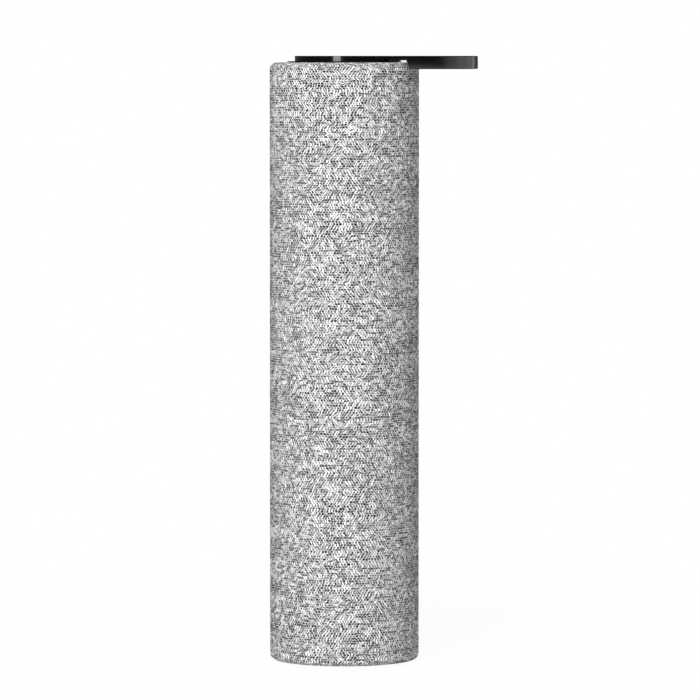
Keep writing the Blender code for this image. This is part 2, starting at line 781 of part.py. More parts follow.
# ================================================================ electronics bay
def main_board():
    bottom = 268 * MM
    board = box("main_board", (-24 * MM, -0.8 * MM, bottom), (24 * MM, 0.8 * MM, 322 * MM), CIRCUIT_BOARD)
    parts = {
        "shield_can": ((-12, -3.4, 296), (8, -0.6, 316)),
        "amplifier": ((-8, -2.2, 276), (2, -0.6, 286)),
        "inductor_1": ((8, -5.0, 272), (16, -0.6, 280)),
        "inductor_2": ((8, -5.0, 283), (16, -0.6, 291)),
        "speaker_plug": ((-22, -4.6, 272), (-14, -0.6, 277)),
        "io_header": ((-22, -4.6, 298), (-14, -0.6, 303)),
        "top_header": ((10, -4.0, 316), (20, -0.6, 320)),
    }
    for name, (low, high) in parts.items():
        join(board, box(name, [v * MM for v in low], [v * MM for v in high], None))
    return board


def board_rails():
    bottom = UPPER_PLATE_TOP + GAP
    top = DECK_BOTTOM - GAP
    for side, name in ((-1, "board_rail_left"), (1, "board_rail_right")):
        inner, outer = sorted((side * 21.8 * MM, side * 27 * MM))
        rail = box(name, (inner, 1.1 * MM, bottom), (outer, 4.0 * MM, top), BLACK_PLASTIC)
        inner, outer = sorted((side * 24.3 * MM, side * 27 * MM))
        join(rail, box(name + "_lip", (inner, -3 * MM, bottom), (outer, 2 * MM, top), None))


def heat_sink():
    """Six fins on a plate that cools the amplifier through the board."""
    plate = box("heat_sink", (-11 * MM, 1.1 * MM, 270 * MM), (11 * MM, 3.1 * MM, 292 * MM), ALUMINIUM)
    fins = [
        block(((-10 + 4 * i) * MM, 6 * MM, 281 * MM), (1.2 * MM, 7 * MM, 22 * MM)) for i in range(6)
    ]
    return join(plate, solids("heat_sink_fins", None, *fins))


def antenna_board():
    return box("antenna_board", *in_mm((-9, 37.0, 290), (9, 37.8, 315)), CIRCUIT_BOARD)


# ================================================================ top deck
def top_frame():
    top = DECK_BOTTOM + DECK_T
    rim_top = FABRIC_TOP - FABRIC_T - GAP - TUBE_T - GAP
    profile = [
        (36.9 * MM, rim_top),
        (37.8 * MM, rim_top),
        (38.7 * MM, rim_top - MM),
        (38.7 * MM, DECK_BOTTOM),
        (8 * MM, DECK_BOTTOM),
        (8 * MM, top),
        (36.9 * MM, top),
    ]
    frame = turned("top_frame", profile, BLACK_PLASTIC, MIDDLE_STEPS)
    for i, (point, _) in enumerate(around(BOSS_CIRCLE_R, 4, 45)):
        at = point + Vector((0, 0, DECK_BOTTOM))
        cut(frame, cylinder(f"deck_hole_{i}", at, 1.3 * MM, 8 * MM, sides=SCREW_STEPS))
    return frame


def trim_ring():
    """Clamps the fabric's edge to the grille tube, and takes the deck's four screws."""
    inner_r = CAP_R + 0.5 * MM
    collar_r = FABRIC_TOP_HOLE_R - 0.5 * MM
    bottom = DECK_BOTTOM + DECK_T + 0.4 * MM
    flange_bottom = FABRIC_TOP + 0.2 * MM
    profile = [
        (inner_r, TRIM_TOP),
        (TRIM_R - 0.2 * MM, TRIM_TOP),
        (TRIM_R, TRIM_TOP - 0.2 * MM),
        (TRIM_R, flange_bottom),
        (collar_r, flange_bottom),
        (collar_r, bottom),
        (inner_r, bottom),
    ]
    trim = turned("trim_ring", profile, GLOSS_BLACK, OUTER_STEPS)
    boss_h = 3.4 * MM
    for i, (point, _) in enumerate(around(BOSS_CIRCLE_R, 4, 45)):
        middle = point + Vector((0, 0, bottom + boss_h / 2))
        join(trim, cylinder(f"trim_boss_{i}", middle, 2.8 * MM, boss_h, sides=BOSS_STEPS))
        cut(trim, cylinder(f"trim_pilot_{i}", middle, 1.15 * MM, boss_h + 2 * OVERSIZE, sides=SCREW_STEPS))
    return trim


def deck_screws():
    for i, (point, _) in enumerate(around(BOSS_CIRCLE_R, 4, 45), 1):
        at = (point.x, point.y, DECK_BOTTOM - GAP)
        screw(f"deck_screw_{i}", at, 5.8 * MM, 1.0 * MM, 2.0 * MM, STEEL)


def notch(name, side):
    """The slot in the cap that one strap arm lies and turns in."""
    low = (PIN_X - 1.9 * MM, side * ARM_Y - NOTCH_WIDTH / 2, NOTCH_FLOOR)
    high = (CAP_R + 2 * OVERSIZE, side * ARM_Y + NOTCH_WIDTH / 2, HEIGHT + OVERSIZE)
    return box(name, low, high, None)


def top_cap():
    profile = [
        (0, HEIGHT),
        (CAP_R - CAP_EDGE, HEIGHT),
        (CAP_R, HEIGHT - CAP_EDGE),
        (CAP_R, SKIRT_BOTTOM),
        (SKIRT_INNER_R, SKIRT_BOTTOM),
        (SKIRT_INNER_R, CAP_UNDERSIDE),
        (0, CAP_UNDERSIDE),
    ]
    cap = turned("top_cap", profile, GLOSS_BLACK, OUTER_STEPS)
    for i, (point, _) in enumerate(around(BUTTON_CIRCLE_R, 4)):
        at = point + Vector((0, 0, HEIGHT - 2 * MM))
        cut(cap, cylinder(f"button_hole_{i}", at, BUTTON_R + 0.25 * MM, 8 * MM, sides=BUTTON_STEPS))
    inner_r, outer_r = LIGHT_RING_R
    slack = 0.15 * MM
    groove = (outer_r + slack, inner_r - slack, LIGHT_RING_BOTTOM - slack, HEIGHT + OVERSIZE)
    cut(cap, ring("light_groove", *groove))
    for i, (point, _) in enumerate(around(sum(LIGHT_RING_R) / 2, 8, 22.5)):
        at = point + Vector((0, 0, CAP_UNDERSIDE))
        cut(cap, cylinder(f"led_hole_{i}", at, 0.6 * MM, 6 * MM, sides=HEX_STEPS))
    for i, (point, _) in enumerate(around(24.2 * MM, 4, 22.5)):
        at = point + Vector((0, 0, HEIGHT - 2 * MM))
        cut(cap, cylinder(f"mic_hole_{i}", at, 0.45 * MM, 8 * MM, sides=HEX_STEPS))
    for side in (-1, 1):
        cut(cap, notch(f"notch_{side + 1}", side))
        bore = (PIN_X, side * 17.5 * MM, PIN_Z)
        cut(cap, cylinder(f"pin_bore_{side + 1}", bore, PIN_BORE_R, 6.4 * MM, turn=FRONT_TO_BACK))
    return cap


def light_ring():
    inner_r, outer_r = LIGHT_RING_R
    return ring("light_ring", outer_r, inner_r, LIGHT_RING_BOTTOM, HEIGHT - 0.05 * MM, LIGHT_PIPE)


def top_buttons():
    names = ("action_button", "volume_up_button", "mute_button", "volume_down_button")
    flange_top = CAP_UNDERSIDE - 0.2 * MM - BUTTON_TOP
    profile = [
        (0, -0.15 * MM),
        (2.6 * MM, -0.1 * MM),
        (3.7 * MM, 0),
        (BUTTON_R, -0.3 * MM),
        (BUTTON_R, flange_top),
        (4.8 * MM, flange_top),
        (4.8 * MM, flange_top - 0.7 * MM),
        (0, flange_top - 0.7 * MM),
    ]
    for name, (point, _) in zip(names, around(BUTTON_CIRCLE_R, 4)):
        turned(name, profile, SATIN_BLACK, BUTTON_STEPS, point + Vector((0, 0, BUTTON_TOP)))


def keypad_mat():
    """A silicone sheet with a nub under each button, 0.8 mm below it."""
    bottom = 336.2 * MM
    top = bottom + 0.6 * MM
    mat = turned("keypad_mat", [(0, top), (16 * MM, top), (16 * MM, bottom), (0, bottom)], RUBBER)
    for i, (point, _) in enumerate(around(BUTTON_CIRCLE_R, 4)):
        middle = point + Vector((0, 0, top))
        join(mat, cylinder(f"nub_{i}", middle, 2 * MM, 0.8 * MM, sides=SCREW_STEPS))
    return mat


def top_board():
    """Microphones, light-ring LEDs and the button contacts."""
    bottom = SKIRT_BOTTOM
    top = bottom + 1.2 * MM
    board = turned(
        "top_board", [(0, top), (25 * MM, top), (25 * MM, bottom), (0, bottom)], CIRCUIT_BOARD
    )
    leds = [
        block(point + Vector((0, 0, top + 0.4 * MM)), (1.6 * MM, 1.6 * MM, 1.2 * MM))
        for point, _ in around(sum(LIGHT_RING_R) / 2, 8, 22.5)
    ]
    join(board, solids("leds", None, *leds))
    root = bottom + 0.2 * MM
    chip = box("audio_chip", (-5 * MM, -18 * MM, bottom - 1.6 * MM), (5 * MM, -8 * MM, root), None)
    plug = box("board_plug", (-5 * MM, 4 * MM, bottom - 3 * MM), (5 * MM, 8 * MM, root), None)
    return join(board, chip, plug)


# ================================================================ strap
def strap_half():
    """Centre line of half of the loop in plan, from the arm's round end to the far end."""
    arm = [(x * MM, ARM_Y) for x in (16.8, 17.2, 18.0)]
    slope = (STRAP_HALF_Y - ARM_Y) / (STRAP_STEP_X - STRAP_FLARE_X)
    places = [STRAP_FLARE_X] + [x for _, *span in STRAP_STEPS for x in span]
    flare = [(x, ARM_Y + slope * (min(x, STRAP_STEP_X) - STRAP_FLARE_X)) for x in places]
    bend_x = STRAP_STEP_X + 1.4 * MM
    reach = STRAP_REACH - STRAP_T / 2 - bend_x
    turns = [math.radians(9 * i) for i in range(11)]
    bend = [(bend_x + reach * math.sin(a), STRAP_HALF_Y * math.cos(a)) for a in turns]
    return arm + flare + bend


def share(value, start, end):
    """How far the value has come from start to end, from 0 to 1."""
    return min(max((value - start) / (end - start), 0), 1)


def strap_edges(x):
    """Lower and upper edge of the strap at this distance from the body's axis."""
    if x < PIN_X:
        tip_r = (ARM_TOP - ARM_BOTTOM) / 2
        middle = (ARM_BOTTOM + ARM_TOP) / 2
        half = math.sqrt(max(tip_r**2 - (PIN_X - x) ** 2, (0.4 * MM) ** 2))
        return middle - half, middle + half
    lower = ARM_BOTTOM
    for z, start, end in STRAP_STEPS:
        lower += (z - lower) * share(x, start, end)
    return lower, ARM_TOP + (HEIGHT - ARM_TOP) * share(x, *STRAP_RISE)


def strap():
    """A band on edge, bent into a loop and thinned to an arm at each end, on its pins' axis."""
    half = strap_half()
    line = half + [(x, -y) for x, y in reversed(half[:-1])]
    points = []
    for x, y in line:
        lower, upper = strap_edges(x)
        points.append((x - PIN_X, y, lower - PIN_Z))
        points.append((x - PIN_X, y, upper - PIN_Z))
    faces = [(2 * i, 2 * i + 1, 2 * i + 3, 2 * i + 2) for i in range(len(line) - 1)]
    mesh = bpy.data.meshes.new("strap")
    mesh.from_pydata(points, [], faces)
    band = place("strap", mesh, STRAP_RUBBER, (PIN_X, 0, PIN_Z))
    solidify = band.modifiers.new("thickness", "SOLIDIFY")
    solidify.thickness = STRAP_T
    solidify.offset = 0
    solidify.use_even_offset = True
    for side in (-1, 1):
        bore = (PIN_X, side * ARM_Y, PIN_Z)
        cut(band, cylinder(f"strap_bore_{side + 1}", bore, PIN_BORE_R, 5 * MM, turn=FRONT_TO_BACK))
    return band


def strap_pins():
    for side, name in ((-1, "strap_pin_front"), (1, "strap_pin_rear")):
        cylinder(name, (PIN_X, side * 17.5 * MM, PIN_Z), PIN_R, 5.8 * MM, STEEL, FRONT_TO_BACK)


# ================================================================ cables
def in_mm(*points):
    return [tuple(v * MM for v in point) for point in points]


def riser(y, bottom, top):
    """The stretch of a cable that goes straight up in the channel."""
    x = -37.2
    return in_mm((x, y, bottom), (x, y, (bottom + top) / 2), (x, y, top))


def cables():
    """Three leads that end at their plugs on the main board, each in a third of the channel."""
    battery = in_mm((-4.4, 20.8, 53), (-8, 22, 53), (-14, 25, 53), (-22, 24.5, 55), (-33, 12, 62))
    battery += riser(2.6, 74, 262)
    battery += in_mm((-34.5, 1.5, 269), (-30, -4, 273), (-25, -8, 274.5))
    battery += in_mm((-20.5, -8, 274.5), (-20, -5, 274.5))
    lead("battery_lead", battery, 0.9 * MM, WIRE_RED)

    woofer = in_mm((-35.9, 0, 150)) + riser(0, 158, 262)
    woofer += in_mm((-36, -0.5, 271), (-33, -4, 280), (-26, -10, 284), (-18, -10.5, 280))
    woofer += in_mm((-16, -8, 275.5), (-16, -5, 274.5))
    lead("woofer_lead", woofer, 0.8 * MM, WIRE_BLACK)

    io = in_mm((-7.5, 24.5, 18), (-14, 25.5, 18), (-23, 24, 20), (-32, 15, 30), (-36.8, 2, 44))
    io += riser(-2.6, 70, 284)
    io += in_mm((-36, -4, 292), (-29, -9, 298), (-20, -9, 300.5), (-18, -5, 300.5))
    lead("io_lead", io, 0.8 * MM, WIRE_BLACK)


# ================================================================ build
clear_scene()
PARTS = new_collection("smart_speaker")
CUTTERS = new_collection("cutters")

FABRIC = new_material("heather grey fabric", (0.46, 0.46, 0.47), 0.95)
BLACK_PLASTIC = new_material("black plastic", (0.02, 0.02, 0.022), 0.5)
SATIN_BLACK = new_material("satin black plastic", (0.025, 0.025, 0.027), 0.35)
GLOSS_BLACK = new_material("gloss black plastic", (0.008, 0.008, 0.009), 0.12)
RUBBER = new_material("black rubber", (0.02, 0.02, 0.02), 0.8)
STRAP_RUBBER = new_material("strap rubber", (0.015, 0.015, 0.016), 0.4)
STEEL = new_material("steel", (0.6, 0.6, 0.62), 0.3, 1.0)
STEEL_BLACK = new_material("black painted steel", (0.03, 0.03, 0.03), 0.4)
ALUMINIUM = new_material("aluminium", (0.75, 0.75, 0.77), 0.35, 1.0)
LIGHT_PIPE = new_material("light pipe", (0.7, 0.72, 0.75), 0.3)
CIRCUIT_BOARD = new_material("circuit board", (0.02, 0.09, 0.04), 0.5)
CELL_WRAP = new_material("cell wrap", (0.05, 0.2, 0.5), 0.4)
FOAM = new_material("grey foam", (0.12, 0.12, 0.12), 1.0)
PAPER = new_material("cone paper", (0.05, 0.05, 0.05), 0.9)
SILK = new_material("dome silk", (0.04, 0.04, 0.045), 0.7)
SPIDER_CLOTH = new_material("spider cloth", (0.55, 0.4, 0.12), 0.9)
WIRE_RED = new_material("red wire", (0.5, 0.02, 0.02), 0.5)
WIRE_BLACK = new_material("black wire", (0.02, 0.02, 0.02), 0.5)

WINDOW_GAP = 0.8 * MM
WINDOW = as_helper(
    pill("rear_window", PANEL_SIZE[0] + WINDOW_GAP, PANEL_SIZE[1] + WINDOW_GAP, PANEL_Z, 36 * MM, 46 * MM)
)
CHANNEL = cable_channel()

fabric_sleeve()
grille_tube()
foot_pad()
base_plate()
base_screws()
base_seal()
battery_tray()
battery_cells()
battery_cap()
battery_board()
rear_panel()
io_board()
usb_socket()
power_button()
status_lens()
spacer_cage()
passive_frame()
passive_radiator()
enclosure()
woofer_basket()
woofer_magnet()
woofer_cone()
woofer_spider()
woofer_gasket()
diffuser("lower_diffuser", 198.9 * MM, LOWER_PLATE_TOP, 208 * MM, 30 * MM)
tweeter()
diffuser("upper_diffuser", LOWER_PLATE_TOP + GAP, UPPER_PLATE_TOP, 250 * MM, 19 * MM)
main_board()
board_rails()
heat_sink()
antenna_board()
top_frame()
trim_ring()
deck_screws()
top_cap()
light_ring()
top_buttons()
keypad_mat()
top_board()
strap()
strap_pins()
cables()
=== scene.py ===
"""Looks of the smart speaker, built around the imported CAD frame.

Metres, +Z up, -Y is the front and +X points to the strap. Visible CAD nodes are replaced by
finer pieces of the same size; the inner ones stay and get procedural materials.
"""

import json
import math
import random

import bmesh
import bpy
from mathutils import Matrix, Vector


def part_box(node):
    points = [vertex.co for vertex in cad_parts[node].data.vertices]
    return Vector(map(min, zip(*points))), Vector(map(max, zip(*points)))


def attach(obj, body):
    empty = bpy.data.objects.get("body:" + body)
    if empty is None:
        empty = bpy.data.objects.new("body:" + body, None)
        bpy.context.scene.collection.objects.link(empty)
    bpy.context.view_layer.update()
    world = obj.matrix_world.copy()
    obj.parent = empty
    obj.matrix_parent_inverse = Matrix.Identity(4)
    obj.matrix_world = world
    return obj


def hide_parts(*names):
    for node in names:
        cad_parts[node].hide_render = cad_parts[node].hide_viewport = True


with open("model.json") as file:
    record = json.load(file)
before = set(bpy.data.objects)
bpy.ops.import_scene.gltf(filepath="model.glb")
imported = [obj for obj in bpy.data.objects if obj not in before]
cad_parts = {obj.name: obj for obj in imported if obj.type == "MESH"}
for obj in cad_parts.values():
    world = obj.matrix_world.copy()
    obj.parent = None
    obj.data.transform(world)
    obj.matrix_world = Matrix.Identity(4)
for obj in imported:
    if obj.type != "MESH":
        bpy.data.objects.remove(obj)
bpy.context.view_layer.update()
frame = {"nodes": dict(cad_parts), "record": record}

MM = 0.001
NODES = frame["nodes"]

# ---------------------------------------------------------------- sizes taken from the frame
SLEEVE_LOW, SLEEVE_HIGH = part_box("fabric_sleeve")
CAP_LOW, CAP_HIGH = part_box("top_cap")
TRIM_LOW, TRIM_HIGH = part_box("trim_ring")
STRAP_LOW, STRAP_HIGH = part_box("strap")
RING_LOW, RING_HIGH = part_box("light_ring")
PAD_LOW, PAD_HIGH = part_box("foot_pad")
PANEL_LOW, PANEL_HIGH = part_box("rear_panel")
SOCKET_LOW, SOCKET_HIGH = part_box("usb_socket")
POWER_LOW, POWER_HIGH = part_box("power_button")
LENS_LOW, LENS_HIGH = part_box("status_lens")
PIN_LOW, PIN_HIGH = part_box("strap_pin_rear")
BODY_R = SLEEVE_HIGH.x
CAP_R = CAP_HIGH.x
CAP_TOP = CAP_HIGH.z
STRAP_TIP = STRAP_HIGH.x
PIN = (PIN_LOW + PIN_HIGH) / 2
PANEL_Z = (PANEL_LOW.z + PANEL_HIGH.z) / 2

# ---------------------------------------------------------------- fabric
LEGS = 156  # slanted yarn legs around the body
ROW = 1.35 * MM  # height of one row of knitting
FABRIC_T = 0.9 * MM
SHOULDER_R = 4.0 * MM
HEEL_R = 3.4 * MM
RELIEF = 0.1 * MM
FLAT_RELIEF = 0.2  # share of the relief where the cloth is drawn flat under the trim and the base
SEAM_WIDTH = 1.1 * MM


# ================================================================ mesh helpers
def link(obj):
    bpy.context.scene.collection.objects.link(obj)
    return obj


def mesh_object(name, bm, material=None, sharp_deg=35):
    """An object of the mesh, outward-facing, smooth except at its sharp edges."""
    bmesh.ops.recalc_face_normals(bm, faces=bm.faces)
    mesh = bpy.data.meshes.new(name)
    bm.to_mesh(mesh)
    bm.free()
    mesh.shade_smooth()
    mesh.set_sharp_from_angle(angle=math.radians(sharp_deg))
    obj = link(bpy.data.objects.new(name, mesh))
    if material:
        mesh.materials.append(material)
    return obj


def arc(centre_r, centre_z, radius, start, end, count=9):
    """Points of an arc in the (radius, height) plane, angles in degrees."""
    angles = [math.radians(start + (end - start) * i / (count - 1)) for i in range(count)]
    return [(centre_r + radius * math.cos(a), centre_z + radius * math.sin(a)) for a in angles]


def rounded(profile, radius, count=4, closed=True):
    """The profile with each corner sharper than 25 degrees replaced by a small curve."""
    points = [Vector(p) for p in profile]
    result = []
    for i, corner in enumerate(points):
        at_end = not closed and i in (0, len(points) - 1)
        before = points[i - 1] - corner
        after = points[(i + 1) % len(points)] - corner
        if at_end or corner.x < 1e-7 or before.length < 1e-9 or after.length < 1e-9:
            result.append(corner)
            continue
        if math.degrees((-before).angle(after)) < 25:
            result.append(corner)
            continue
        reach = min(radius, before.length * 0.45, after.length * 0.45)
        start = corner + before.normalized() * reach
        end = corner + after.normalized() * reach
        for k in range(count + 1):
            t = k / count
            result.append((1 - t) ** 2 * start + 2 * t * (1 - t) * corner + t * t * end)
    return [(p.x, p.y) for p in result]


def lathe_bm(profile, steps, matrix=None):
    """A profile of (radius, height) points spun about Z. Points on the axis close it."""
    bm = bmesh.new()
    rings = []
    for radius, z in profile:
        if radius < 1e-7:
            rings.append([bm.verts.new((0, 0, z))])
            continue
        turn = [2 * math.pi * k / steps for k in range(steps)]
        rings.append([bm.verts.new((radius * math.cos(a), radius * math.sin(a), z)) for a in turn])
    pairs = list(zip(rings, rings[1:]))
    if len(rings[0]) > 1 and len(rings[-1]) > 1:
        pairs.append((rings[-1], rings[0]))
    for a, b in pairs:
        for k in range(steps):
            n = (k + 1) % steps
            corners = [a[k % len(a)], a[n % len(a)], b[n % len(b)], b[k % len(b)]]
            unique = list(dict.fromkeys(corners))
            if len(unique) > 2:
                bm.faces.new(unique)
    if matrix:
        bm.transform(matrix)
    return bm


def lathe(name, profile, material=None, steps=128, matrix=None, sharp_deg=35):
    return mesh_object(name, lathe_bm(profile, steps, matrix), material, sharp_deg)


def prism(name, outline, low, high, material=None, matrix=None, bevel=0.0, segments=2):
    """A flat outline in X and Y pulled up from low to high, with its edges rounded."""
    bm = bmesh.new()
    bottom = [bm.verts.new((x, y, low)) for x, y in outline]
    top = [bm.verts.new((x, y, high)) for x, y in outline]
    bm.faces.new(bottom)
    bm.faces.new(top)
    for i in range(len(outline)):
        n = (i + 1) % len(outline)
        bm.faces.new((bottom[i], bottom[n], top[n], top[i]))
    if bevel:
        rims = [e for e in bm.edges if abs(e.verts[0].co.z - e.verts[1].co.z) < 1e-9]
        bmesh.ops.bevel(bm, geom=rims, offset=bevel, segments=segments, affect="EDGES", profile=0.5)
    if matrix:
        bm.transform(matrix)
    return mesh_object(name, bm, material)


def stadium(width, height, count=17):
    """The outline of a slot with round ends, its longer side along Y or X as the sizes say."""
    radius = min(width, height) / 2
    run_x, run_y = width / 2 - radius, height / 2 - radius
    points = []
    for quarter, (sx, sy) in enumerate(((1, 1), (-1, 1), (-1, -1), (1, -1))):
        points += [
            (sx * run_x + radius * math.cos(a), sy * run_y + radius * math.sin(a))
            for a in (math.radians(90 * quarter + 90 * k / (count - 1)) for k in range(count))
        ]
    unique = [points[0]]
    for p in points[1:]:
        if math.dist(p, unique[-1]) > 1e-7 and math.dist(p, unique[0]) > 1e-7:
            unique.append(p)
    return unique


def applied(obj, *modifiers):
    """Adds the modifiers, each (kind, settings), and puts their result in the mesh."""
    for kind, settings in modifiers:
        modifier = obj.modifiers.new(kind.lower(), kind)
        for key, value in settings.items():
            setattr(modifier, key, value)
    bpy.context.view_layer.update()
    graph = bpy.context.evaluated_depsgraph_get()
    mesh = bpy.data.meshes.new_from_object(obj.evaluated_get(graph))
    obj.modifiers.clear()
    obj.data = mesh
    return obj


def cut(obj, *cutters, operation="DIFFERENCE"):
    """Takes the cutters out of the object, and then removes them."""
    steps = [("BOOLEAN", {"operation": operation, "object": c, "solver": "EXACT"}) for c in cutters]
    applied(obj, *steps)
    for cutter in cutters:
        bpy.data.objects.remove(cutter)
    obj.data.shade_smooth()
    obj.data.set_sharp_from_angle(angle=math.radians(35))
    return obj


def soften(obj, width, segments=3, angle=40):
    """Rounds the sharp edges of an object."""
    bevel = {
        "width": width,
        "segments": segments,
        "limit_method": "ANGLE",
        "angle_limit": math.radians(angle),
        "harden_normals": True,
    }
    applied(obj, ("BEVEL", bevel))
    return obj


def evened(obj):
    """Shades flat faces flat and lets only the rounded edges between them turn."""
    return applied(obj, ("WEIGHTED_NORMAL", {"mode": "FACE_AREA", "weight": 100, "keep_sharp": True}))


def on_circle(radius, count, first_deg=0.0):
    for i in range(count):
        angle = math.radians(first_deg + 360 * i / count)
        yield Vector((radius * math.cos(angle), radius * math.sin(angle), 0))


def stands_for(piece, node, body="housing"):
    """The piece rides on the body and replaces the CAD node."""
    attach(piece, body)
    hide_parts(node)
    return piece


def detail(piece, slot, body="housing"):
    """The piece rides on the body and adds to what is there."""
    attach(piece, body)
    return piece


# ================================================================ material helpers
class Graph:
    """Short ways to add nodes to a material or world."""

    def __init__(self, tree):
        self.tree = tree
        self.shader = tree.nodes.get("Principled BSDF")

    def node(self, kind, inputs=(), **settings):
        made = self.tree.nodes.new(kind)
        for key, value in settings.items():
            setattr(made, key, value)
        for key, value in dict(inputs).items():
            self.feed(made.inputs[key], value)
        return made

    def feed(self, socket, value):
        if isinstance(value, bpy.types.NodeSocket):
            self.tree.links.new(value, socket)
        else:
            socket.default_value = value

    def math(self, operation, *values, clamp=False):
        made = self.node("ShaderNodeMath", operation=operation, use_clamp=clamp)
        for socket, value in zip(made.inputs, values):
            self.feed(socket, value)
        return made.outputs[0]

    def noise(self, vector, scale, detail=2.0, roughness=0.5):
        made = self.node("ShaderNodeTexNoise", {"Vector": vector, "Scale": scale, "Detail": detail})
        made.inputs["Roughness"].default_value = roughness
        return made.outputs["Fac"]

    def random(self, x, y, z=0.0):
        """A random number from 0 to 1 for each whole place."""
        place = self.node("ShaderNodeCombineXYZ", {"X": x, "Y": y, "Z": z}).outputs[0]
        return self.node("ShaderNodeTexWhiteNoise", {"Vector": place}).outputs["Value"]

    def span(self, value, low, high, to_low=0.0, to_high=1.0, smooth=True):
        """The value's range from low to high, taken to another range and held at its ends."""
        made = self.node("ShaderNodeMapRange", {"Value": value, "From Min": low, "From Max": high})
        made.interpolation_type = "SMOOTHSTEP" if smooth else "LINEAR"
        made.inputs["To Min"].default_value = to_low
        made.inputs["To Max"].default_value = to_high
        return made.outputs["Result"]

    def mix(self, factor, a, b):
        made = self.node("ShaderNodeMix", data_type="RGBA")
        for key, value in (("Factor_Float", factor), ("A_Color", a), ("B_Color", b)):
            self.feed(next(s for s in made.inputs if s.identifier == key), value)
        return next(s for s in made.outputs if s.identifier == "Result_Color")

    def place(self):
        """Where the point is in the row frame."""
        return self.node("ShaderNodeTexCoord").outputs["Object"]

    def stretched(self, vector, x, y, z):
        made = self.node("ShaderNodeVectorMath", {0: vector}, operation="MULTIPLY")
        made.inputs[1].default_value = (x, y, z)
        return made.outputs[0]

    def bump(self, height, depth, strength=1.0, normal=None):
        made = self.node("ShaderNodeBump", {"Height": height, "Distance": depth, "Strength": strength})
        if normal:
            self.feed(made.inputs["Normal"], normal)
        return made.outputs[0]


def new_material(name, **sockets):
    material = bpy.data.materials.new(name)
    material.use_nodes = True
    graph = Graph(material.node_tree)
    for key, value in sockets.items():
        graph.shader.inputs[key.replace("_", " ")].default_value = value
    return material, graph


def grey(value, alpha=1.0):
    return (value, value, value, alpha)


def finish(name, colour, rough, grain=0.0, pitch=0.4 * MM, mottle=0.12, **sockets):
    """A moulded, painted or machined surface: its colour and roughness vary a little, and a fine
    grain of the given depth and pitch stands on it."""
    material, g = new_material(name, **sockets)
    place = g.place()
    broad = g.noise(place, 60.0, 3.0)
    fine = g.noise(place, 1 / pitch, 3.0, 0.6)
    dark = tuple(c * (1 - mottle) for c in colour) + (1.0,)
    light = tuple(min(1.0, c * (1 + mottle)) for c in colour) + (1.0,)
    g.feed(g.shader.inputs["Base Color"], g.mix(broad, dark, light))
    both = g.math("ADD", g.math("MULTIPLY", broad, 0.6), g.math("MULTIPLY", fine, 0.4))
    g.feed(g.shader.inputs["Roughness"], g.span(both, 0.3, 0.7, rough * 0.85, min(1.0, rough * 1.15)))
    if grain:
        g.feed(g.shader.inputs["Normal"], g.bump(fine, grain))
    return material


